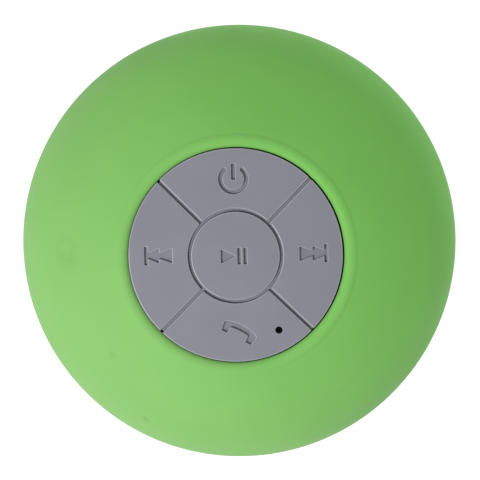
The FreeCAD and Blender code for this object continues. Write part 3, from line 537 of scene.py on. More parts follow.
def sign_handset():
    ro, co = bow(3.4, 0.5, 1.2)
    ri, ci = bow(1.9, -0.1, 0.08)
    a = math.degrees(math.atan2(0.5 - co, 3.4))
    b = math.degrees(math.atan2(-0.1 - ci, 1.9))
    segs = [seg_arc((0, co), ro, a, 180 - a),
            seg_line((-3.4, 0.5), (-3.1, -1.4)),
            seg_line((-3.1, -1.4), (-1.95, -1.4)),
            seg_line((-1.95, -1.4), (-1.9, -0.1)),
            seg_arc((0, ci), ri, 180 - b, b),
            seg_line((1.9, -0.1), (1.95, -1.4)),
            seg_line((1.95, -1.4), (3.1, -1.4)),
            seg_line((3.1, -1.4), (3.4, 0.5))]
    return [outline(segs, [0.55, 0.25, 0.25, 0.2, 0.2, 0.25, 0.25, 0.55], 0.1)]


# ------------------------------------------------------------------ materials
def node(nt, kind, **inputs):
    n = nt.nodes.new(kind)
    for k, v in inputs.items():
        n.inputs[k.replace("_", " ")].default_value = v
    return n


def surface(name, colour, rough=0.5, metal=0.0, spread=0.05, spread_scale=60.0, rough_spread=0.08,
            rough_scale=220.0, bump=0.15, bump_scale=3000.0, bump_mm=0.02, sheen=0.0, coat=0.0, spec=0.5,
            stretch=(1, 1, 1), detail=4.0, transmission=0.0, ior=1.45, wear=0.0, edge_wear_and_highlight=None):
    """Moulded, rubber, metal or paper finish: colour drift, uneven gloss, fine bump, worn high spots.
    edge_wear_and_highlight=(roughness, specular, paler): rounded edges of an upward-facing piece, glossier as if
    polished by fingers; the paler base colour on their shoulders is painted highlight as well as wear."""
    m = bpy.data.materials.new(name)
    m.use_nodes = True
    nt = m.node_tree
    b = nt.nodes["Principled BSDF"]
    tc = nt.nodes.new("ShaderNodeTexCoord")
    mp = nt.nodes.new("ShaderNodeMapping")
    mp.inputs["Scale"].default_value = stretch
    nt.links.new(tc.outputs["Object"], mp.inputs["Vector"])
    big = node(nt, "ShaderNodeTexNoise", Scale=spread_scale, Detail=detail, Roughness=0.55)
    nt.links.new(mp.outputs["Vector"], big.inputs["Vector"])
    ramp = nt.nodes.new("ShaderNodeMapRange")
    ramp.inputs["From Min"].default_value = 0.3
    ramp.inputs["From Max"].default_value = 0.7
    ramp.inputs["To Min"].default_value = 1 - spread
    ramp.inputs["To Max"].default_value = 1 + spread
    nt.links.new(big.outputs["Fac"], ramp.inputs["Value"])
    mul = nt.nodes.new("ShaderNodeVectorMath")
    mul.operation = "SCALE"
    mul.inputs[0].default_value = colour
    nt.links.new(ramp.outputs["Result"], mul.inputs["Scale"])
    last = mul.outputs["Vector"]
    if wear:
        w = node(nt, "ShaderNodeTexNoise", Scale=spread_scale * 6, Detail=6.0, Roughness=0.7)
        nt.links.new(mp.outputs["Vector"], w.inputs["Vector"])
        wr = nt.nodes.new("ShaderNodeMapRange")
        wr.inputs["From Min"].default_value = 0.6
        wr.inputs["From Max"].default_value = 0.75
        wr.inputs["To Max"].default_value = wear
        nt.links.new(w.outputs["Fac"], wr.inputs["Value"])
        mx = nt.nodes.new("ShaderNodeMix")
        mx.data_type = "RGBA"
        mx.inputs["B"].default_value = (min(1, colour[0] * 1.6 + 0.05), min(1, colour[1] * 1.6 + 0.05),
                                        min(1, colour[2] * 1.6 + 0.05), 1)
        nt.links.new(wr.outputs["Result"], mx.inputs["Factor"])
        nt.links.new(last, mx.inputs["A"])
        last = mx.outputs["Result"]
    nt.links.new(last, b.inputs["Base Color"])
    gloss = node(nt, "ShaderNodeTexNoise", Scale=rough_scale, Detail=5.0, Roughness=0.6)
    nt.links.new(mp.outputs["Vector"], gloss.inputs["Vector"])
    gr = nt.nodes.new("ShaderNodeMapRange")
    gr.inputs["From Min"].default_value = 0.3
    gr.inputs["From Max"].default_value = 0.7
    gr.inputs["To Min"].default_value = max(0.02, rough - rough_spread)
    gr.inputs["To Max"].default_value = min(1.0, rough + rough_spread)
    nt.links.new(gloss.outputs["Fac"], gr.inputs["Value"])
    # rounded shoulders: lower roughness and more specular, and a paler base colour that is painted highlight as well as
    # wear
    if edge_wear_and_highlight:
        geo = nt.nodes.new("ShaderNodeNewGeometry")
        vt = nt.nodes.new("ShaderNodeVectorTransform")
        vt.vector_type = "NORMAL"
        vt.convert_from, vt.convert_to = "WORLD", "OBJECT"
        nt.links.new(geo.outputs["Normal"], vt.inputs["Vector"])
        sep = nt.nodes.new("ShaderNodeSeparateXYZ")
        nt.links.new(vt.outputs["Vector"], sep.inputs["Vector"])
        steep = nt.nodes.new("ShaderNodeMapRange")
        steep.interpolation_type = "SMOOTHSTEP"
        steep.inputs["From Min"].default_value = 0.987
        steep.inputs["From Max"].default_value = 0.965
        nt.links.new(sep.outputs["Z"], steep.inputs["Value"])
        wall = nt.nodes.new("ShaderNodeMapRange")
        wall.interpolation_type = "SMOOTHSTEP"
        wall.inputs["From Min"].default_value = 0.62
        wall.inputs["From Max"].default_value = 0.84
        nt.links.new(sep.outputs["Z"], wall.inputs["Value"])
        both = nt.nodes.new("ShaderNodeMath")
        both.operation = "MULTIPLY"
        nt.links.new(steep.outputs["Result"], both.inputs[0])
        nt.links.new(wall.outputs["Result"], both.inputs[1])
        lift = nt.nodes.new("ShaderNodeMapRange")
        lift.inputs["To Min"].default_value = 1.0
        lift.inputs["To Max"].default_value = edge_wear_and_highlight[2]
        nt.links.new(both.outputs["Value"], lift.inputs["Value"])
        paler = nt.nodes.new("ShaderNodeVectorMath")
        paler.operation = "SCALE"
        nt.links.new(last, paler.inputs[0])
        nt.links.new(lift.outputs["Result"], paler.inputs["Scale"])
        nt.links.new(paler.outputs["Vector"], b.inputs["Base Color"])
        for target, plain, worn in (("Roughness", gr.outputs["Result"], edge_wear_and_highlight[0]),
                                    ("Specular IOR Level", None, edge_wear_and_highlight[1])):
            mr = nt.nodes.new("ShaderNodeMix")
            mr.data_type = "FLOAT"
            nt.links.new(steep.outputs["Result"], mr.inputs["Factor"])
            if plain is None:
                mr.inputs["A"].default_value = spec
            else:
                nt.links.new(plain, mr.inputs["A"])
            mr.inputs["B"].default_value = worn
            nt.links.new(mr.outputs["Result"], b.inputs[target])
    else:
        nt.links.new(gr.outputs["Result"], b.inputs["Roughness"])
    fine = node(nt, "ShaderNodeTexNoise", Scale=bump_scale, Detail=3.0, Roughness=0.6)
    nt.links.new(mp.outputs["Vector"], fine.inputs["Vector"])
    bp = nt.nodes.new("ShaderNodeBump")
    bp.inputs["Strength"].default_value = bump
    bp.inputs["Distance"].default_value = bump_mm * MM
    nt.links.new(fine.outputs["Fac"], bp.inputs["Height"])
    nt.links.new(bp.outputs["Normal"], b.inputs["Normal"])
    b.inputs["Metallic"].default_value = metal
    b.inputs["Specular IOR Level"].default_value = spec
    b.inputs["Sheen Weight"].default_value = sheen
    b.inputs["Sheen Roughness"].default_value = 0.45
    b.inputs["Coat Weight"].default_value = coat
    b.inputs["Coat Roughness"].default_value = 0.2
    b.inputs["Transmission Weight"].default_value = transmission
    b.inputs["IOR"].default_value = ior
    return m


def smudge(m, centre, radius, colour, amount, scale=260.0):
    """A soft, broken mark on a surface at a place in the row frame (mm)."""
    nt = m.node_tree
    b = nt.nodes["Principled BSDF"]
    old = b.inputs["Base Color"].links[0].from_socket
    tc = nt.nodes.new("ShaderNodeTexCoord")
    dist = nt.nodes.new("ShaderNodeVectorMath")
    dist.operation = "DISTANCE"
    dist.inputs[1].default_value = [c * MM for c in centre]
    nt.links.new(tc.outputs["Object"], dist.inputs[0])
    rng = nt.nodes.new("ShaderNodeMapRange")
    rng.interpolation_type = "SMOOTHSTEP"
    rng.inputs["From Min"].default_value = 0.0
    rng.inputs["From Max"].default_value = radius * MM
    rng.inputs["To Min"].default_value = amount
    rng.inputs["To Max"].default_value = 0.0
    nt.links.new(dist.outputs["Value"], rng.inputs["Value"])
    nz = node(nt, "ShaderNodeTexNoise", Scale=scale, Detail=6.0, Roughness=0.65)
    nt.links.new(tc.outputs["Object"], nz.inputs["Vector"])
    nr = nt.nodes.new("ShaderNodeMapRange")
    nr.inputs["From Min"].default_value = 0.42
    nr.inputs["From Max"].default_value = 0.62
    nt.links.new(nz.outputs["Fac"], nr.inputs["Value"])
    mm = nt.nodes.new("ShaderNodeMath")
    mm.operation = "MULTIPLY"
    nt.links.new(rng.outputs["Result"], mm.inputs[0])
    nt.links.new(nr.outputs["Result"], mm.inputs[1])
    mx = nt.nodes.new("ShaderNodeMix")
    mx.data_type = "RGBA"
    mx.inputs["B"].default_value = (*colour, 1)
    nt.links.new(mm.outputs["Value"], mx.inputs["Factor"])
    nt.links.new(old, mx.inputs["A"])
    nt.links.new(mx.outputs["Result"], b.inputs["Base Color"])


def painted_lit_side_tint(m, direction, reach, low, high):
    """Painted light: slow change of the base colour across the piece along one direction, paler and milkier on the side
    facing the key light and more saturated on the shaded side.
    """
    nt = m.node_tree
    b = nt.nodes["Principled BSDF"]
    old = b.inputs["Base Color"].links[0].from_socket
    tc = nt.nodes.new("ShaderNodeTexCoord")
    dot = nt.nodes.new("ShaderNodeVectorMath")
    dot.operation = "DOT_PRODUCT"
    dot.inputs[1].default_value = Vector(direction).normalized()
    nt.links.new(tc.outputs["Object"], dot.inputs[0])
    nz = node(nt, "ShaderNodeTexNoise", Scale=70.0, Detail=3.0, Roughness=0.5)
    nt.links.new(tc.outputs["Object"], nz.inputs["Vector"])
    add = nt.nodes.new("ShaderNodeMath")
    add.operation = "MULTIPLY_ADD"
    add.inputs[1].default_value = 0.012
    nt.links.new(nz.outputs["Fac"], add.inputs[0])
    nt.links.new(dot.outputs["Value"], add.inputs[2])
    rng = nt.nodes.new("ShaderNodeMapRange")
    rng.inputs["From Min"].default_value = -reach * MM + 0.006
    rng.inputs["From Max"].default_value = reach * MM + 0.006
    nt.links.new(add.outputs["Value"], rng.inputs["Value"])
    tint = nt.nodes.new("ShaderNodeMix")
    tint.data_type = "RGBA"
    tint.inputs["A"].default_value = (*low, 1)
    tint.inputs["B"].default_value = (*high, 1)
    nt.links.new(rng.outputs["Result"], tint.inputs["Factor"])
    mx = nt.nodes.new("ShaderNodeVectorMath")
    mx.operation = "MULTIPLY"
    nt.links.new(old, mx.inputs[0])
    nt.links.new(tint.outputs["Result"], mx.inputs[1])
    nt.links.new(mx.outputs["Vector"], b.inputs["Base Color"])


MATS = {
    "sleeve_green": surface("sleeve_green", (0.160, 0.404, 0.087), rough=0.62, spread=0.03, spread_scale=45,
                            rough_spread=0.05, rough_scale=140, bump=0.22, bump_scale=2600, bump_mm=0.018,
                            spec=0.2),
    # keypad_grey: paler shoulders on rounded edges, painted highlight as well as wear
    "keypad_grey": surface("keypad_grey", (0.182, 0.184, 0.212), rough=0.80, spread=0.03, spread_scale=90,
                           rough_spread=0.05, rough_scale=300, bump=0.25, bump_scale=3400, bump_mm=0.014,
                           spec=0.3, edge_wear_and_highlight=(0.46, 1.0, 1.3)),
    # shell_plastic is near black: a dark plastic darkened further as painted shade in the gap round the keypad, where
    # the shell shows
    "shell_plastic": surface("shell_plastic", (0.035, 0.035, 0.038), rough=0.5, bump=0.2),
    "cover_plastic": surface("cover_plastic", (0.055, 0.055, 0.06), rough=0.52, spread=0.08, spread_scale=120,
                             bump=0.6, bump_scale=2200, bump_mm=0.05, wear=0.06),
    "cup_rubber": surface("cup_rubber", (0.20, 0.203, 0.212), rough=0.30, spread=0.05, spread_scale=40,
                          rough_spread=0.08, bump=0.1, bump_scale=900, bump_mm=0.03, coat=0.25, sheen=0.05),
    "seal_rubber": surface("seal_rubber", (0.02, 0.02, 0.021), rough=0.62, bump=0.3),
    "flap_rubber": surface("flap_rubber", (0.075, 0.075, 0.08), rough=0.6, bump=0.3, bump_scale=3000, wear=0.05),
    "steel": surface("steel", (0.42, 0.42, 0.43), rough=0.36, metal=1.0, spread=0.06, rough_spread=0.1,
                     bump=0.15, bump_scale=5200, bump_mm=0.01, stretch=(1, 1, 0.15), wear=0.1),
    "basket_steel": surface("basket_steel", (0.03, 0.03, 0.032), rough=0.42, coat=0.3),
    "magnet_ferrite": surface("magnet_ferrite", (0.045, 0.045, 0.048), rough=0.66, bump=0.4, wear=0.1),
    "board_green": surface("board_green", (0.012, 0.10, 0.035), rough=0.3, spread=0.15, spread_scale=500, coat=0.5),
    "component_black": surface("component_black", (0.02, 0.02, 0.021), rough=0.55, bump=0.3),
    "plunger_plastic": surface("plunger_plastic", (0.5, 0.43, 0.3), rough=0.45),
    "battery_foil": surface("battery_foil", (0.62, 0.63, 0.65), rough=0.35, metal=0.9, bump=0.4, bump_scale=500,
                            bump_mm=0.1),
    "foam_pad": surface("foam_pad", (0.05, 0.05, 0.052), rough=0.9, bump=0.8, bump_scale=1800, bump_mm=0.1),
    "lead_red": surface("lead_red", (0.36, 0.02, 0.02), rough=0.4),
    "lead_black": surface("lead_black", (0.02, 0.02, 0.02), rough=0.4),
    "lead_white": surface("lead_white", (0.6, 0.6, 0.58), rough=0.4),
    "mesh_cloth": surface("mesh_cloth", (0.022, 0.022, 0.024), rough=0.85, bump=0.8, bump_scale=4200, bump_mm=0.08),
    "cone_paper": surface("cone_paper", (0.045, 0.045, 0.048), rough=0.85, bump=0.6, bump_scale=1600, bump_mm=0.06),
    "spider_cloth": surface("spider_cloth", (0.46, 0.3, 0.1), rough=0.75, bump=0.7, bump_scale=2400),
    "coil_copper": surface("coil_copper", (0.75, 0.32, 0.15), rough=0.3, metal=1.0, stretch=(0.1, 0.1, 12)),
    "can_metal": surface("can_metal", (0.62, 0.62, 0.64), rough=0.3, metal=1.0),
    "retainer_plastic": surface("retainer_plastic", (0.07, 0.07, 0.073), rough=0.5, bump=0.3),
}
# painted light: the sleeve's green is paler and milkier towards -X -Y, where the key light comes from, and more
# saturated on the shaded side
painted_lit_side_tint(MATS["sleeve_green"], (-0.83, -0.56, 0), 40.0, (0.87, 1.01, 0.79), (1.14, 0.97, 1.27))
smudge(MATS["sleeve_green"], (-32.9, 0.2, 45.8), 5.5, (0.055, 0.13, 0.035), 0.17, 420.0)
smudge(MATS["sleeve_green"], (-24.2, -19.7, 47.4), 1.4, (0.05, 0.10, 0.03), 0.4, 900.0)
smudge(MATS["sleeve_green"], (-18.7, -33.4, 40.4), 1.4, (0.05, 0.10, 0.03), 0.4, 900.0)

SLOT = {s["node"]: s["material_slot"] for s in frame["record"]["subparts"]}
for name, ob in frame["nodes"].items():
    m = MATS[SLOT[name]]
    if len(ob.material_slots) == 0:
        ob.data.materials.append(m)
    for s in ob.material_slots:
        s.material = m


def place(ob, body, slot_name, *nodes):
    ob.data.materials.append(MATS[slot_name])
    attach(ob, body)
    if nodes:
        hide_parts(*nodes)
    return ob


# ------------------------------------------------------------------ sleeve
def crown_r_z(r, t):
    return CROWN_Z + math.sqrt((CROWN_R - t) ** 2 - r * r)


def rear_r(z, t):
    return REAR_X + math.sqrt((REAR - t) ** 2 - (WIDE - z) ** 2)


JOIN = math.degrees(math.atan2(DROP, SIDE_X))


def sleeve_profile():
    """Closed outline, counter-clockwise in (r, z): out and up the outer face, down the inner face."""
    pts = []
    # rear edge with a rounded hem
    hem_out = rear_r(HEM + 0.75, 0)
    a_hem = math.degrees(math.atan2(HEM + 0.75 - WIDE, hem_out - REAR_X))
    pts += [(COVER_R + 0.02, HEM + 0.25), (COVER_R + 0.1, HEM + 0.07), (COVER_R + 0.3, HEM)]
    flat = rear_r(HEM, 0) - 0.75
    p0, p3 = Vector((flat, HEM)), Vector((hem_out, HEM + 0.75))
    t3 = Vector((-math.sin(math.radians(a_hem)), math.cos(math.radians(a_hem))))
    for i in range(0, 8):
        s = i / 8
        q = p0 * (1 - s) ** 3 + (p0 + Vector((0.55, 0))) * 3 * s * (1 - s) ** 2 + \
            (p3 - t3 * 0.35) * 3 * s * s * (1 - s) + p3 * s ** 3
        pts.append((q.x, q.y))
    pts += arc_pts(REAR_X, WIDE, REAR, a_hem, 0, 30)[:-1]
    pts += arc_pts(SIDE_X, WIDE, SIDE, 0, JOIN, 48)[:-1]
    # crown arc up to the crease at the foot of the bead
    foot = BEAD_ROOT + 0.09
    a1 = math.degrees(math.acos(foot / CROWN_R))
    pts += arc_pts(0, CROWN_Z, CROWN_R, JOIN, a1, 26)
    # bead section
    ax, az = BEAD_ROOT, crown_r_z(BEAD_ROOT, 0)
    bx, bz = MOUTH_R, MOUTH_Z
    mx, mz = (ax + bx) / 2, (az + bz) / 2
    ux, uz = ax - bx, az - bz
    span = math.hypot(ux, uz)
    back = math.sqrt(BEAD_R ** 2 - span * span / 4)
    cx, cz = mx + back * uz / span, mz - back * ux / span
    a_start = math.degrees(math.atan2(az - cz, ax - cx)) + 1.5
    a_end = math.degrees(math.atan2(bz - cz, bx - cx)) - 5
    # small concave blend from the crown into the bead
    p0 = Vector(pts[-1])
    t0 = Vector((-math.sin(math.radians(a1)), math.cos(math.radians(a1))))
    bs = Vector((cx + BEAD_R * math.cos(math.radians(a_start)), cz + BEAD_R * math.sin(math.radians(a_start))))
    tb = Vector((-math.sin(math.radians(a_start)), math.cos(math.radians(a_start))))
    k = (bs - p0).length * 0.36
    for i in range(1, 8):
        s = i / 8
        q = p0 * (1 - s) ** 3 + (p0 + t0 * k) * 3 * s * (1 - s) ** 2 + (bs - tb * k) * 3 * s * s * (1 - s) + bs * s ** 3
        pts.append((q.x, q.y))
    pts += arc_pts(cx, cz, BEAD_R, a_start, a_end, 26)
    # rounded inner lip, then the mouth wall
    le = Vector(pts[-1])
    te = Vector((-math.sin(math.radians(a_end)), math.cos(math.radians(a_end))))
    p3 = Vector((MOUTH_R, MOUTH_Z - 0.25))
    for i in range(1, 7):
        s = i / 6
        q = le * (1 - s) ** 3 + (le + te * 0.18) * 3 * s * (1 - s) ** 2 + \
            (p3 + Vector((0, 0.16))) * 3 * s * s * (1 - s) + p3 * s ** 3
        pts.append((q.x, q.y))
    pts.append((MOUTH_R, crown_r_z(MOUTH_R, WALL) + 0.02))
    # inner face
    a2 = math.degrees(math.acos(MOUTH_R / (CROWN_R - WALL)))
    pts += arc_pts(0, CROWN_Z, CROWN_R - WALL, a2, JOIN, 12)[1:-1]
    pts += arc_pts(SIDE_X, WIDE, SIDE - WALL, JOIN, 0, 16)[:-1]
    a3 = math.degrees(math.atan2(COVER_TOP - WIDE, rear_r(COVER_TOP, WALL) - REAR_X))
    pts += arc_pts(REAR_X, WIDE, REAR - WALL, 0, a3, 10)
    pts.append((COVER_R + 0.02, COVER_TOP))
    return [(r * 0.9997, z) for r, z in pts]


place(lathe("sleeve_skin", sleeve_profile(), 288), "speaker_body", "sleeve_green", "silicone_sleeve")

# ------------------------------------------------------------------ keypad
SIGNS = {
    "power": [moved(r, -0.15, 14.55) for r in sign_power()],
    "previous": [moved(r, -14.6, 0.2) for r in sign_skip(-1)],
    "next": [moved(r, 14.75, 0.2) for r in sign_skip(1)],
    "call": [moved(r, 0.5, -14.4, -28.5) for r in sign_handset()],
    "play_pause": sign_play(),
}
QUARTER = {"power": 0, "previous": 1, "call": 2, "next": 3}
EDGE = 0.34
STEM = fillet([(0, NUB + 0.02), (STEM_R, NUB + 0.02), (STEM_R, KEY_FLOOR + 0.05), (0, KEY_FLOOR + 0.05)],
              [0, 0.25, 0, 0])
for key, signs in SIGNS.items():
    if key == "play_pause":
        edge = circle(0, 0, CENTRE_R, 0.16)
        sx = sy = 0.0
    else:
        edge = key_outline(QUARTER[key])
        sx, sy = turned((0, PITCH), QUARTER[key])
    data = crowned_piece(edge, EDGE, 0.0, KEY_FLOOR, signs, [MIC] if key == "call" else [], sign_depth=0.64)
    stem = shifted(lathe_data(STEM, 40, closed=False), sx - PAD_SHIFT, sy)
    place(new_object("key_%s_cap" % key, *shifted(join_data([data, stem]), PAD_SHIFT, 0.0)),
          "key_" + key, "keypad_grey", "key_" + key)

def pierced_disc(radius, soft, spots, hole_r, z0, z1):
    """A flat round skin with a softened rim and round holes straight through it."""
    loops = [circle(0, 0, radius - soft, 0.6)] + [circle(x, y, hole_r, 0.35) for x, y in spots]
    xy, edges, owner = [], [], []
    for k, loop in enumerate(loops):
        base, m = len(xy), len(loop)
        if sum(a.x * b.y - b.x * a.y for a, b in zip(loop, loop[1:] + loop[:1])) < 0:
            loop = loop[::-1]
        xy += [Vector((q.x, q.y)) for q in loop]
        owner += [k] * m
        edges += [(base + i, base + (i + 1) % m) for i in range(m)]
    total = len(xy)
    got = delaunay_2d_cdt(xy, edges, [], 0, 1e-7)
    index = [o[0] for o in got[3]]
    f = []
    for tri in got[2]:
        a, b, c = (index[i] for i in tri)
        if owner[a] == owner[b] == owner[c] > 0:
            continue
        if (xy[b] - xy[a]).cross(xy[c] - xy[a]) < 0:
            b, c = c, b
        f += [(a, b, c), (total + a, total + c, total + b)]
    lean = []
    for q, k in zip(xy, owner):
        d = (Vector((q.x, q.y)) - Vector(spots[k - 1])).normalized() if k else Vector((0, 0))
        lean.append((-d.x, -d.y))
    v = [(q.x, q.y, z1) for q in xy] + [(q.x, q.y, z0) for q in xy]
    n = [(x, y, 1.0) for x, y in lean] + [(x, y, -1.0) for x, y in lean]
    m = owner.count(0)
    rows = [[total + i for i in range(m)]]
    turns = [math.radians(a) for a in (22.5, 45, 67.5, 90)]
    layers = [(math.sin(a), -math.cos(a), z0 + soft) for a in turns] + \
             [(math.cos(a), math.sin(a), z1 - soft) for a in [0.0] + turns[:3]]
    for out, up, z in layers:
        rows.append([len(v) + i for i in range(m)])
        for q in xy[:m]:
            d = q.normalized()
            v.append((q.x + d.x * soft * out, q.y + d.y * soft * out, z + soft * up))
            n.append((d.x * out, d.y * out, up))
    rows.append(list(range(m)))
    for low, high in zip(rows, rows[1:]):
        for i in range(m):
            j = (i + 1) % m
            f.append((low[i], low[j], high[j], high[i]))
    for a, b in edges[m:]:
        f.append((total + b, total + a, a, b))
    return v, f, n


# what shows in the grooves: a ring round the centre key and four arms at the same depth that stop short of
# the edge, each filling the space between the keys, all standing on one clamped disc
gap = 0.02
RING_DROP, ARM_DROP = 0.68, 0.68
ring_floor = crowned_piece(circle(0, 0, CENTRE_R + GROOVE - gap, 0.3), 0.03, RING_DROP, 49.1, (),
                           [(0.0, 0.0, CENTRE_R + gap)], grid=50.0)
web_parts = [ring_floor]
for quarter in range(4):
    h, r0, r1 = GROOVE / 2 - 0.008, CENTRE_R + GROOVE - 0.06, PAD_R - (0.08, 0.34, 0.38, 0.08)[quarter]
    c, sn = math.cos(math.radians(45 + 90 * quarter)), math.sin(math.radians(45 + 90 * quarter))
    box = [(r0, -h), (r1, -h), (r1, h), (r0, h)]
    arm = outline(polygon([(x * c - y * sn, x * sn + y * c) for x, y in box]), 0.03, 0.4)
    web_parts.append(crowned_piece(arm, 0.03, ARM_DROP, 49.1, (), (), grid=50.0))
STEM_SPOTS = [(0.0, 0.0)] + [tuple(turned((0, PITCH), q)) for q in range(4)]
web_parts.append(pierced_disc(22.38, 0.15, [(x - PAD_SHIFT, y) for x, y in STEM_SPOTS], STEM_R + 0.1, 48.02, 49.18))
place(new_object("keypad_skin", *shifted(join_data(web_parts), PAD_SHIFT, 0.0)), "speaker_body", "keypad_grey",
      "keypad_web")

# ------------------------------------------------------------------ suction cup
def cup_profile():
    hollow, lip = 6.2, 24.4
    ur = (lip * lip + hollow * hollow) / (2 * hollow)
    a0, a1 = 90.0, math.degrees(math.atan2(ur - hollow, lip))
    pts = arc_pts(0, hollow - ur, ur, a0, a1, 26)[:-1]
    pts += fillet([(lip - 0.5, 0.24), (lip + 0.05, 0.0), (26.0, 0.0), (26.0, 0.7), (25.2, 1.45)],
                  [0, 0.25, 0.3, 0.35, 0])[1:-1]
    # outer bell with two shallow moulded steps
    hx, hz, ex, ez, bell = 8.5, 8.8, 26.0, 0.7, 27.0
    cx, cz = (hx + ex) / 2, (hz + ez) / 2
    ln = math.hypot(ex - hx, ez - hz)
    off = math.sqrt(bell * bell - ln * ln / 4)
    bx, bz = cx + off * (ez - hz) / ln, cz - off * (ex - hx) / ln
    s0 = math.degrees(math.atan2(ez - bz, ex - bx)) + 1.4
    s1 = math.degrees(math.atan2(hz - bz, hx - bx)) - 3.2
    n = 60
    for i in range(n + 1):
        a = math.radians(s0 + (s1 - s0) * i / n)
        f = i / n
        dip = 0.10 * math.exp(-((f - 0.13) / 0.018) ** 2) + 0.07 * math.exp(-((f - 0.80) / 0.02) ** 2)
        pts.append((bx + (bell - dip) * math.cos(a), bz + (bell - dip) * math.sin(a)))
    last = Vector(pts[-1])
    tang = Vector((-math.sin(math.radians(s1)), math.cos(math.radians(s1))))
    p3 = Vector((8.5, 10.6))
    for i in range(1, 9):
        s = i / 8
        q = last * (1 - s) ** 3 + (last + tang * 1.1) * 3 * s * (1 - s) ** 2 + (p3 - Vector((0, 0.9))) * 3 * s * s * (1 - s) + p3 * s ** 3
        pts.append((q.x, q.y))
    pts += [(8.5, 11.15), (8.43, 11.32), (8.25, 11.39), (4.02, 11.39), (4.02, 9.5), (6.5, 9.5), (6.5, 7.5), (0, 7.5)]
    return pts


place(lathe("suction_cup_skin", cup_profile(), 224, closed=False), "cup_mount", "cup_rubber", "suction_cup")


# ------------------------------------------------------------------ port flap
def slab(x0, x1, y0, y1, z0, z1, corner, rounding, corners=(1, 1, 1, 1)):
    """Flat moulded piece with rounded plan corners and soft lower edges, as stacked rings."""
    base = fillet([(x0, y0), (x1, y0), (x1, y1), (x0, y1)], [corner * c for c in corners], 10)
    ring0 = [Vector(p) for p in base]
    dirs = inward(ring0)
    layers = []
    for j in range(5):
        a = math.radians(90 * j / 4)
        layers.append((rounding * (1 - math.sin(a)), z0 + rounding * (1 - math.cos(a)), -math.cos(a), math.sin(a)))
    layers.append((0.0, z1 - 0.12, 0.0, 1.0))
    layers.append((0.12, z1, 1.0, 0.0))
    v, f, n = [], [], []
    m = len(ring0)
    for d, z, nz, nh in layers:
        for p, (b, k) in zip(ring0, dirs):
            q = p + b * (k * d)
            v.append((q.x, q.y, z))
            n.append((-b.x * nh, -b.y * nh, nz))
    for j in range(len(layers) - 1):
        for i in range(m):
            i2 = (i + 1) % m
            f.append((j * m + i, j * m + i2, (j + 1) * m + i2, (j + 1) * m + i))
    f.append(tuple(reversed(range(m))))
    f.append(tuple((len(layers) - 1) * m + i for i in range(m)))
    return v, f, n


def tapered(x0, x1, y0, y1, z0, tx0, tx1, ty0, ty1, z1):
    a = fillet([(x0, y0), (x1, y0), (x1, y1), (x0, y1)], [0.5] * 4, 15)
    b = fillet([(tx0, ty0), (tx1, ty0), (tx1, ty1), (tx0, ty1)], [0.4] * 4, 15)
    ra, rb = [Vector(p) for p in a], [Vector(p) for p in b]
    m = len(ra)
    na = inward(ra)
    v = [(p.x, p.y, z0) for p in ra] + [(p.x, p.y, z1 - 0.2) for p in rb] + \
        [(p.x + q[0].x * 0.2, p.y + q[0].y * 0.2, z1) for p, q in zip(rb, inward(rb))]
    n = [(-q[0].x, -q[0].y, 0.2) for q in na] * 2 + [(0, 0, 1)] * m
    f = [tuple(reversed(range(m)))]
    for j in (0, 1):
        for i in range(m):
            i2 = (i + 1) % m
            f.append((j * m + i, j * m + i2, (j + 1) * m + i2, (j + 1) * m + i))
    f.append(tuple(2 * m + i for i in range(m)))
    return v, f, n


flap = [slab(-5.48, 5.5, -30.9, -26.0, 15.06, 16.35, 1.0, 0.3, (0.2, 1, 1, 0.2)),
        tapered(-3.2, 3.2, -29.2, -27.7, 16.3, -2.4, 2.4, -29.0, -27.9, 18.5)]
place(new_object("port_flap_skin", *join_data(flap)), "port_flap", "flap_rubber", "port_cover")
anchor = [slab(-8.1, -5.7, -30.9, -26.0, 15.06, 16.4, 0.7, 0.3, (1, 0.2, 0.2, 1)),
          shifted(lathe_data([(0, 16.35), (0.89, 16.35), (0.89, 16.9), (0.8, 17.0), (0, 17.0)], 32, closed=False),
                  -6.9, -28.45)]
place(new_object("port_anchor_skin", *join_data(anchor)), "speaker_body", "flap_rubber", "port_cover_anchor")

# ------------------------------------------------------------------ loudspeaker's bending rings
def bending_ring(name, node_name, profile, radii):
    """A ring clamped at its outer edge that carries the cone at its inner edge, built here as a fixed turned mesh with
    the finish of the CAD ring it replaces.
    """
    data = lathe_data([(r, z) for r, z in fillet(profile, radii, 15)], 160)
    ob = new_object(name, *data)
    ob.data.materials.append(MATS[SLOT[node_name]])
    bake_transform(ob)
    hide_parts(node_name)
    return ob


bending_ring("spider_skin", "spider",
             [(7.27, 25.05), (8.4, 25.5), (9.4, 25.3), (10.4, 25.8), (11.4, 25.6), (12.2, 26.15), (13.2, 26.15),
              (13.2, 26.38), (12.1, 26.38), (11.3, 25.88), (10.4, 26.08), (9.4, 25.58), (8.4, 25.78),
              (7.27, 25.33)],
             [0, 0.45, 0.45, 0.45, 0.45, 0.4, 0, 0, 0.4, 0.45, 0.45, 0.45, 0.45, 0])
bending_ring("surround_skin", "surround",
             [(14.4, 19.62), (15.3, 19.62), (16.1, 20.6), (16.7, 20.7), (17.2, 20.55), (18.38, 20.7),
              (18.38, 20.98), (17.0, 20.98), (16.0, 20.95), (15.2, 19.85), (14.4, 19.85)],
             [0, 0.3, 0.3, 0.3, 0.3, 0, 0, 0.3, 0.4, 0.3, 0])

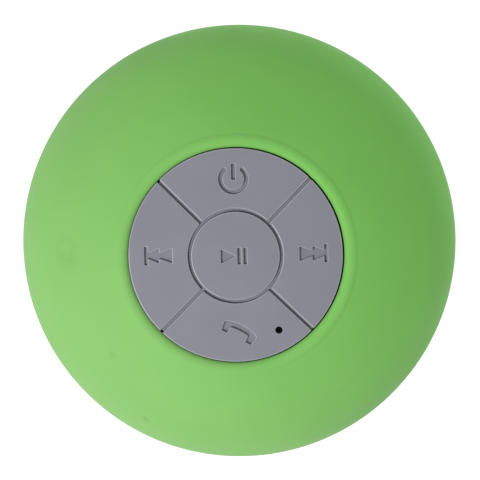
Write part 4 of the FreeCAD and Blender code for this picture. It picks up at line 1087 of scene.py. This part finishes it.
# ------------------------------------------------------------------ floor, light, camera
fl = bpy.data.meshes.new("floor")
fl.from_pydata([(-3, -3, 0), (3, -3, 0), (3, 3, 0), (-3, 3, 0)], [], [(0, 1, 2, 3)])
floor = bpy.data.objects.new("floor", fl)
bpy.context.scene.collection.objects.link(floor)
fm = bpy.data.materials.new("floor_white")
fm.use_nodes = True
fb = fm.node_tree.nodes["Principled BSDF"]
fb.inputs["Base Color"].default_value = (0.13, 0.13, 0.13, 1)
fb.inputs["Roughness"].default_value = 0.9
fb.inputs["Emission Color"].default_value = (1, 1, 1, 1)
fb.inputs["Emission Strength"].default_value = 1.0
fn = fm.node_tree.nodes.new("ShaderNodeTexNoise")
fn.inputs["Scale"].default_value = 300
fbp = fm.node_tree.nodes.new("ShaderNodeBump")
fbp.inputs["Strength"].default_value = 0.02
fm.node_tree.links.new(fn.outputs["Fac"], fbp.inputs["Height"])
fm.node_tree.links.new(fbp.outputs["Normal"], fb.inputs["Normal"])
# the floor is a one-sided sheet, so the underside of the object shows from below
fg = fm.node_tree.nodes.new("ShaderNodeNewGeometry")
ft = fm.node_tree.nodes.new("ShaderNodeBsdfTransparent")
fx = fm.node_tree.nodes.new("ShaderNodeMixShader")
fm.node_tree.links.new(fg.outputs["Backfacing"], fx.inputs[0])
fm.node_tree.links.new(fb.outputs["BSDF"], fx.inputs[1])
fm.node_tree.links.new(ft.outputs["BSDF"], fx.inputs[2])
fm.node_tree.links.new(fx.outputs["Shader"], fm.node_tree.nodes["Material Output"].inputs["Surface"])
fl.materials.append(fm)

world = bpy.data.worlds.new("studio")
bpy.context.scene.world = world
world.use_nodes = True
world.node_tree.nodes["Background"].inputs["Color"].default_value = (1, 1, 1, 1)
world.node_tree.nodes["Background"].inputs["Strength"].default_value = 0.605


def softbox(name, direction, distance, size, power, colour=(1, 1, 1)):
    la = bpy.data.lights.new(name, "AREA")
    la.shape = "RECTANGLE"
    la.size, la.size_y = size
    la.energy = power
    la.color = colour
    ob = bpy.data.objects.new(name, la)
    d = Vector(direction).normalized()
    ob.location = Vector((0, 0, 0.035)) + d * distance
    ob.rotation_mode = "QUATERNION"
    ob.rotation_quaternion = (-d).to_track_quat("-Z", "Y")
    bpy.context.scene.collection.objects.link(ob)
    return ob


softbox("key_light", (-0.83, -0.56, 1.48), 0.9, (0.16, 0.16), 6.15)
softbox("low_light", (-0.83, -0.56, 0.47), 0.9, (0.3, 0.16), 0.9)
softbox("rim_light", (0.83, 0.56, 0.28), 0.8, (0.5, 0.3), 0.9)

scene = bpy.context.scene
scene.view_settings.view_transform = "Standard"
scene.view_settings.look = "None"
scene.view_settings.exposure = 0.0
scene.view_settings.gamma = 1.0

cam_data = bpy.data.cameras.new("camera")
cam = bpy.data.objects.new("camera", cam_data)
scene.collection.objects.link(cam)
cam_data.lens = 226.0
cam_data.sensor_width = 36.0
cam_data.clip_start, cam_data.clip_end = 0.01, 20.0
target = Vector((0.00015, 0.00021, 0.025))
toward = Vector((0.0225, 0.0945, 0.99)).normalized()
cam.location = target + toward * 0.6
up = Vector((math.sin(math.radians(1.1)), math.cos(math.radians(1.1)), 0.0))
z_axis = toward
x_axis = up.cross(z_axis).normalized()
y_axis = z_axis.cross(x_axis)
cam.rotation_mode = "QUATERNION"
cam.rotation_quaternion = Matrix((x_axis, y_axis, z_axis)).transposed().to_quaternion()
scene.camera = cam
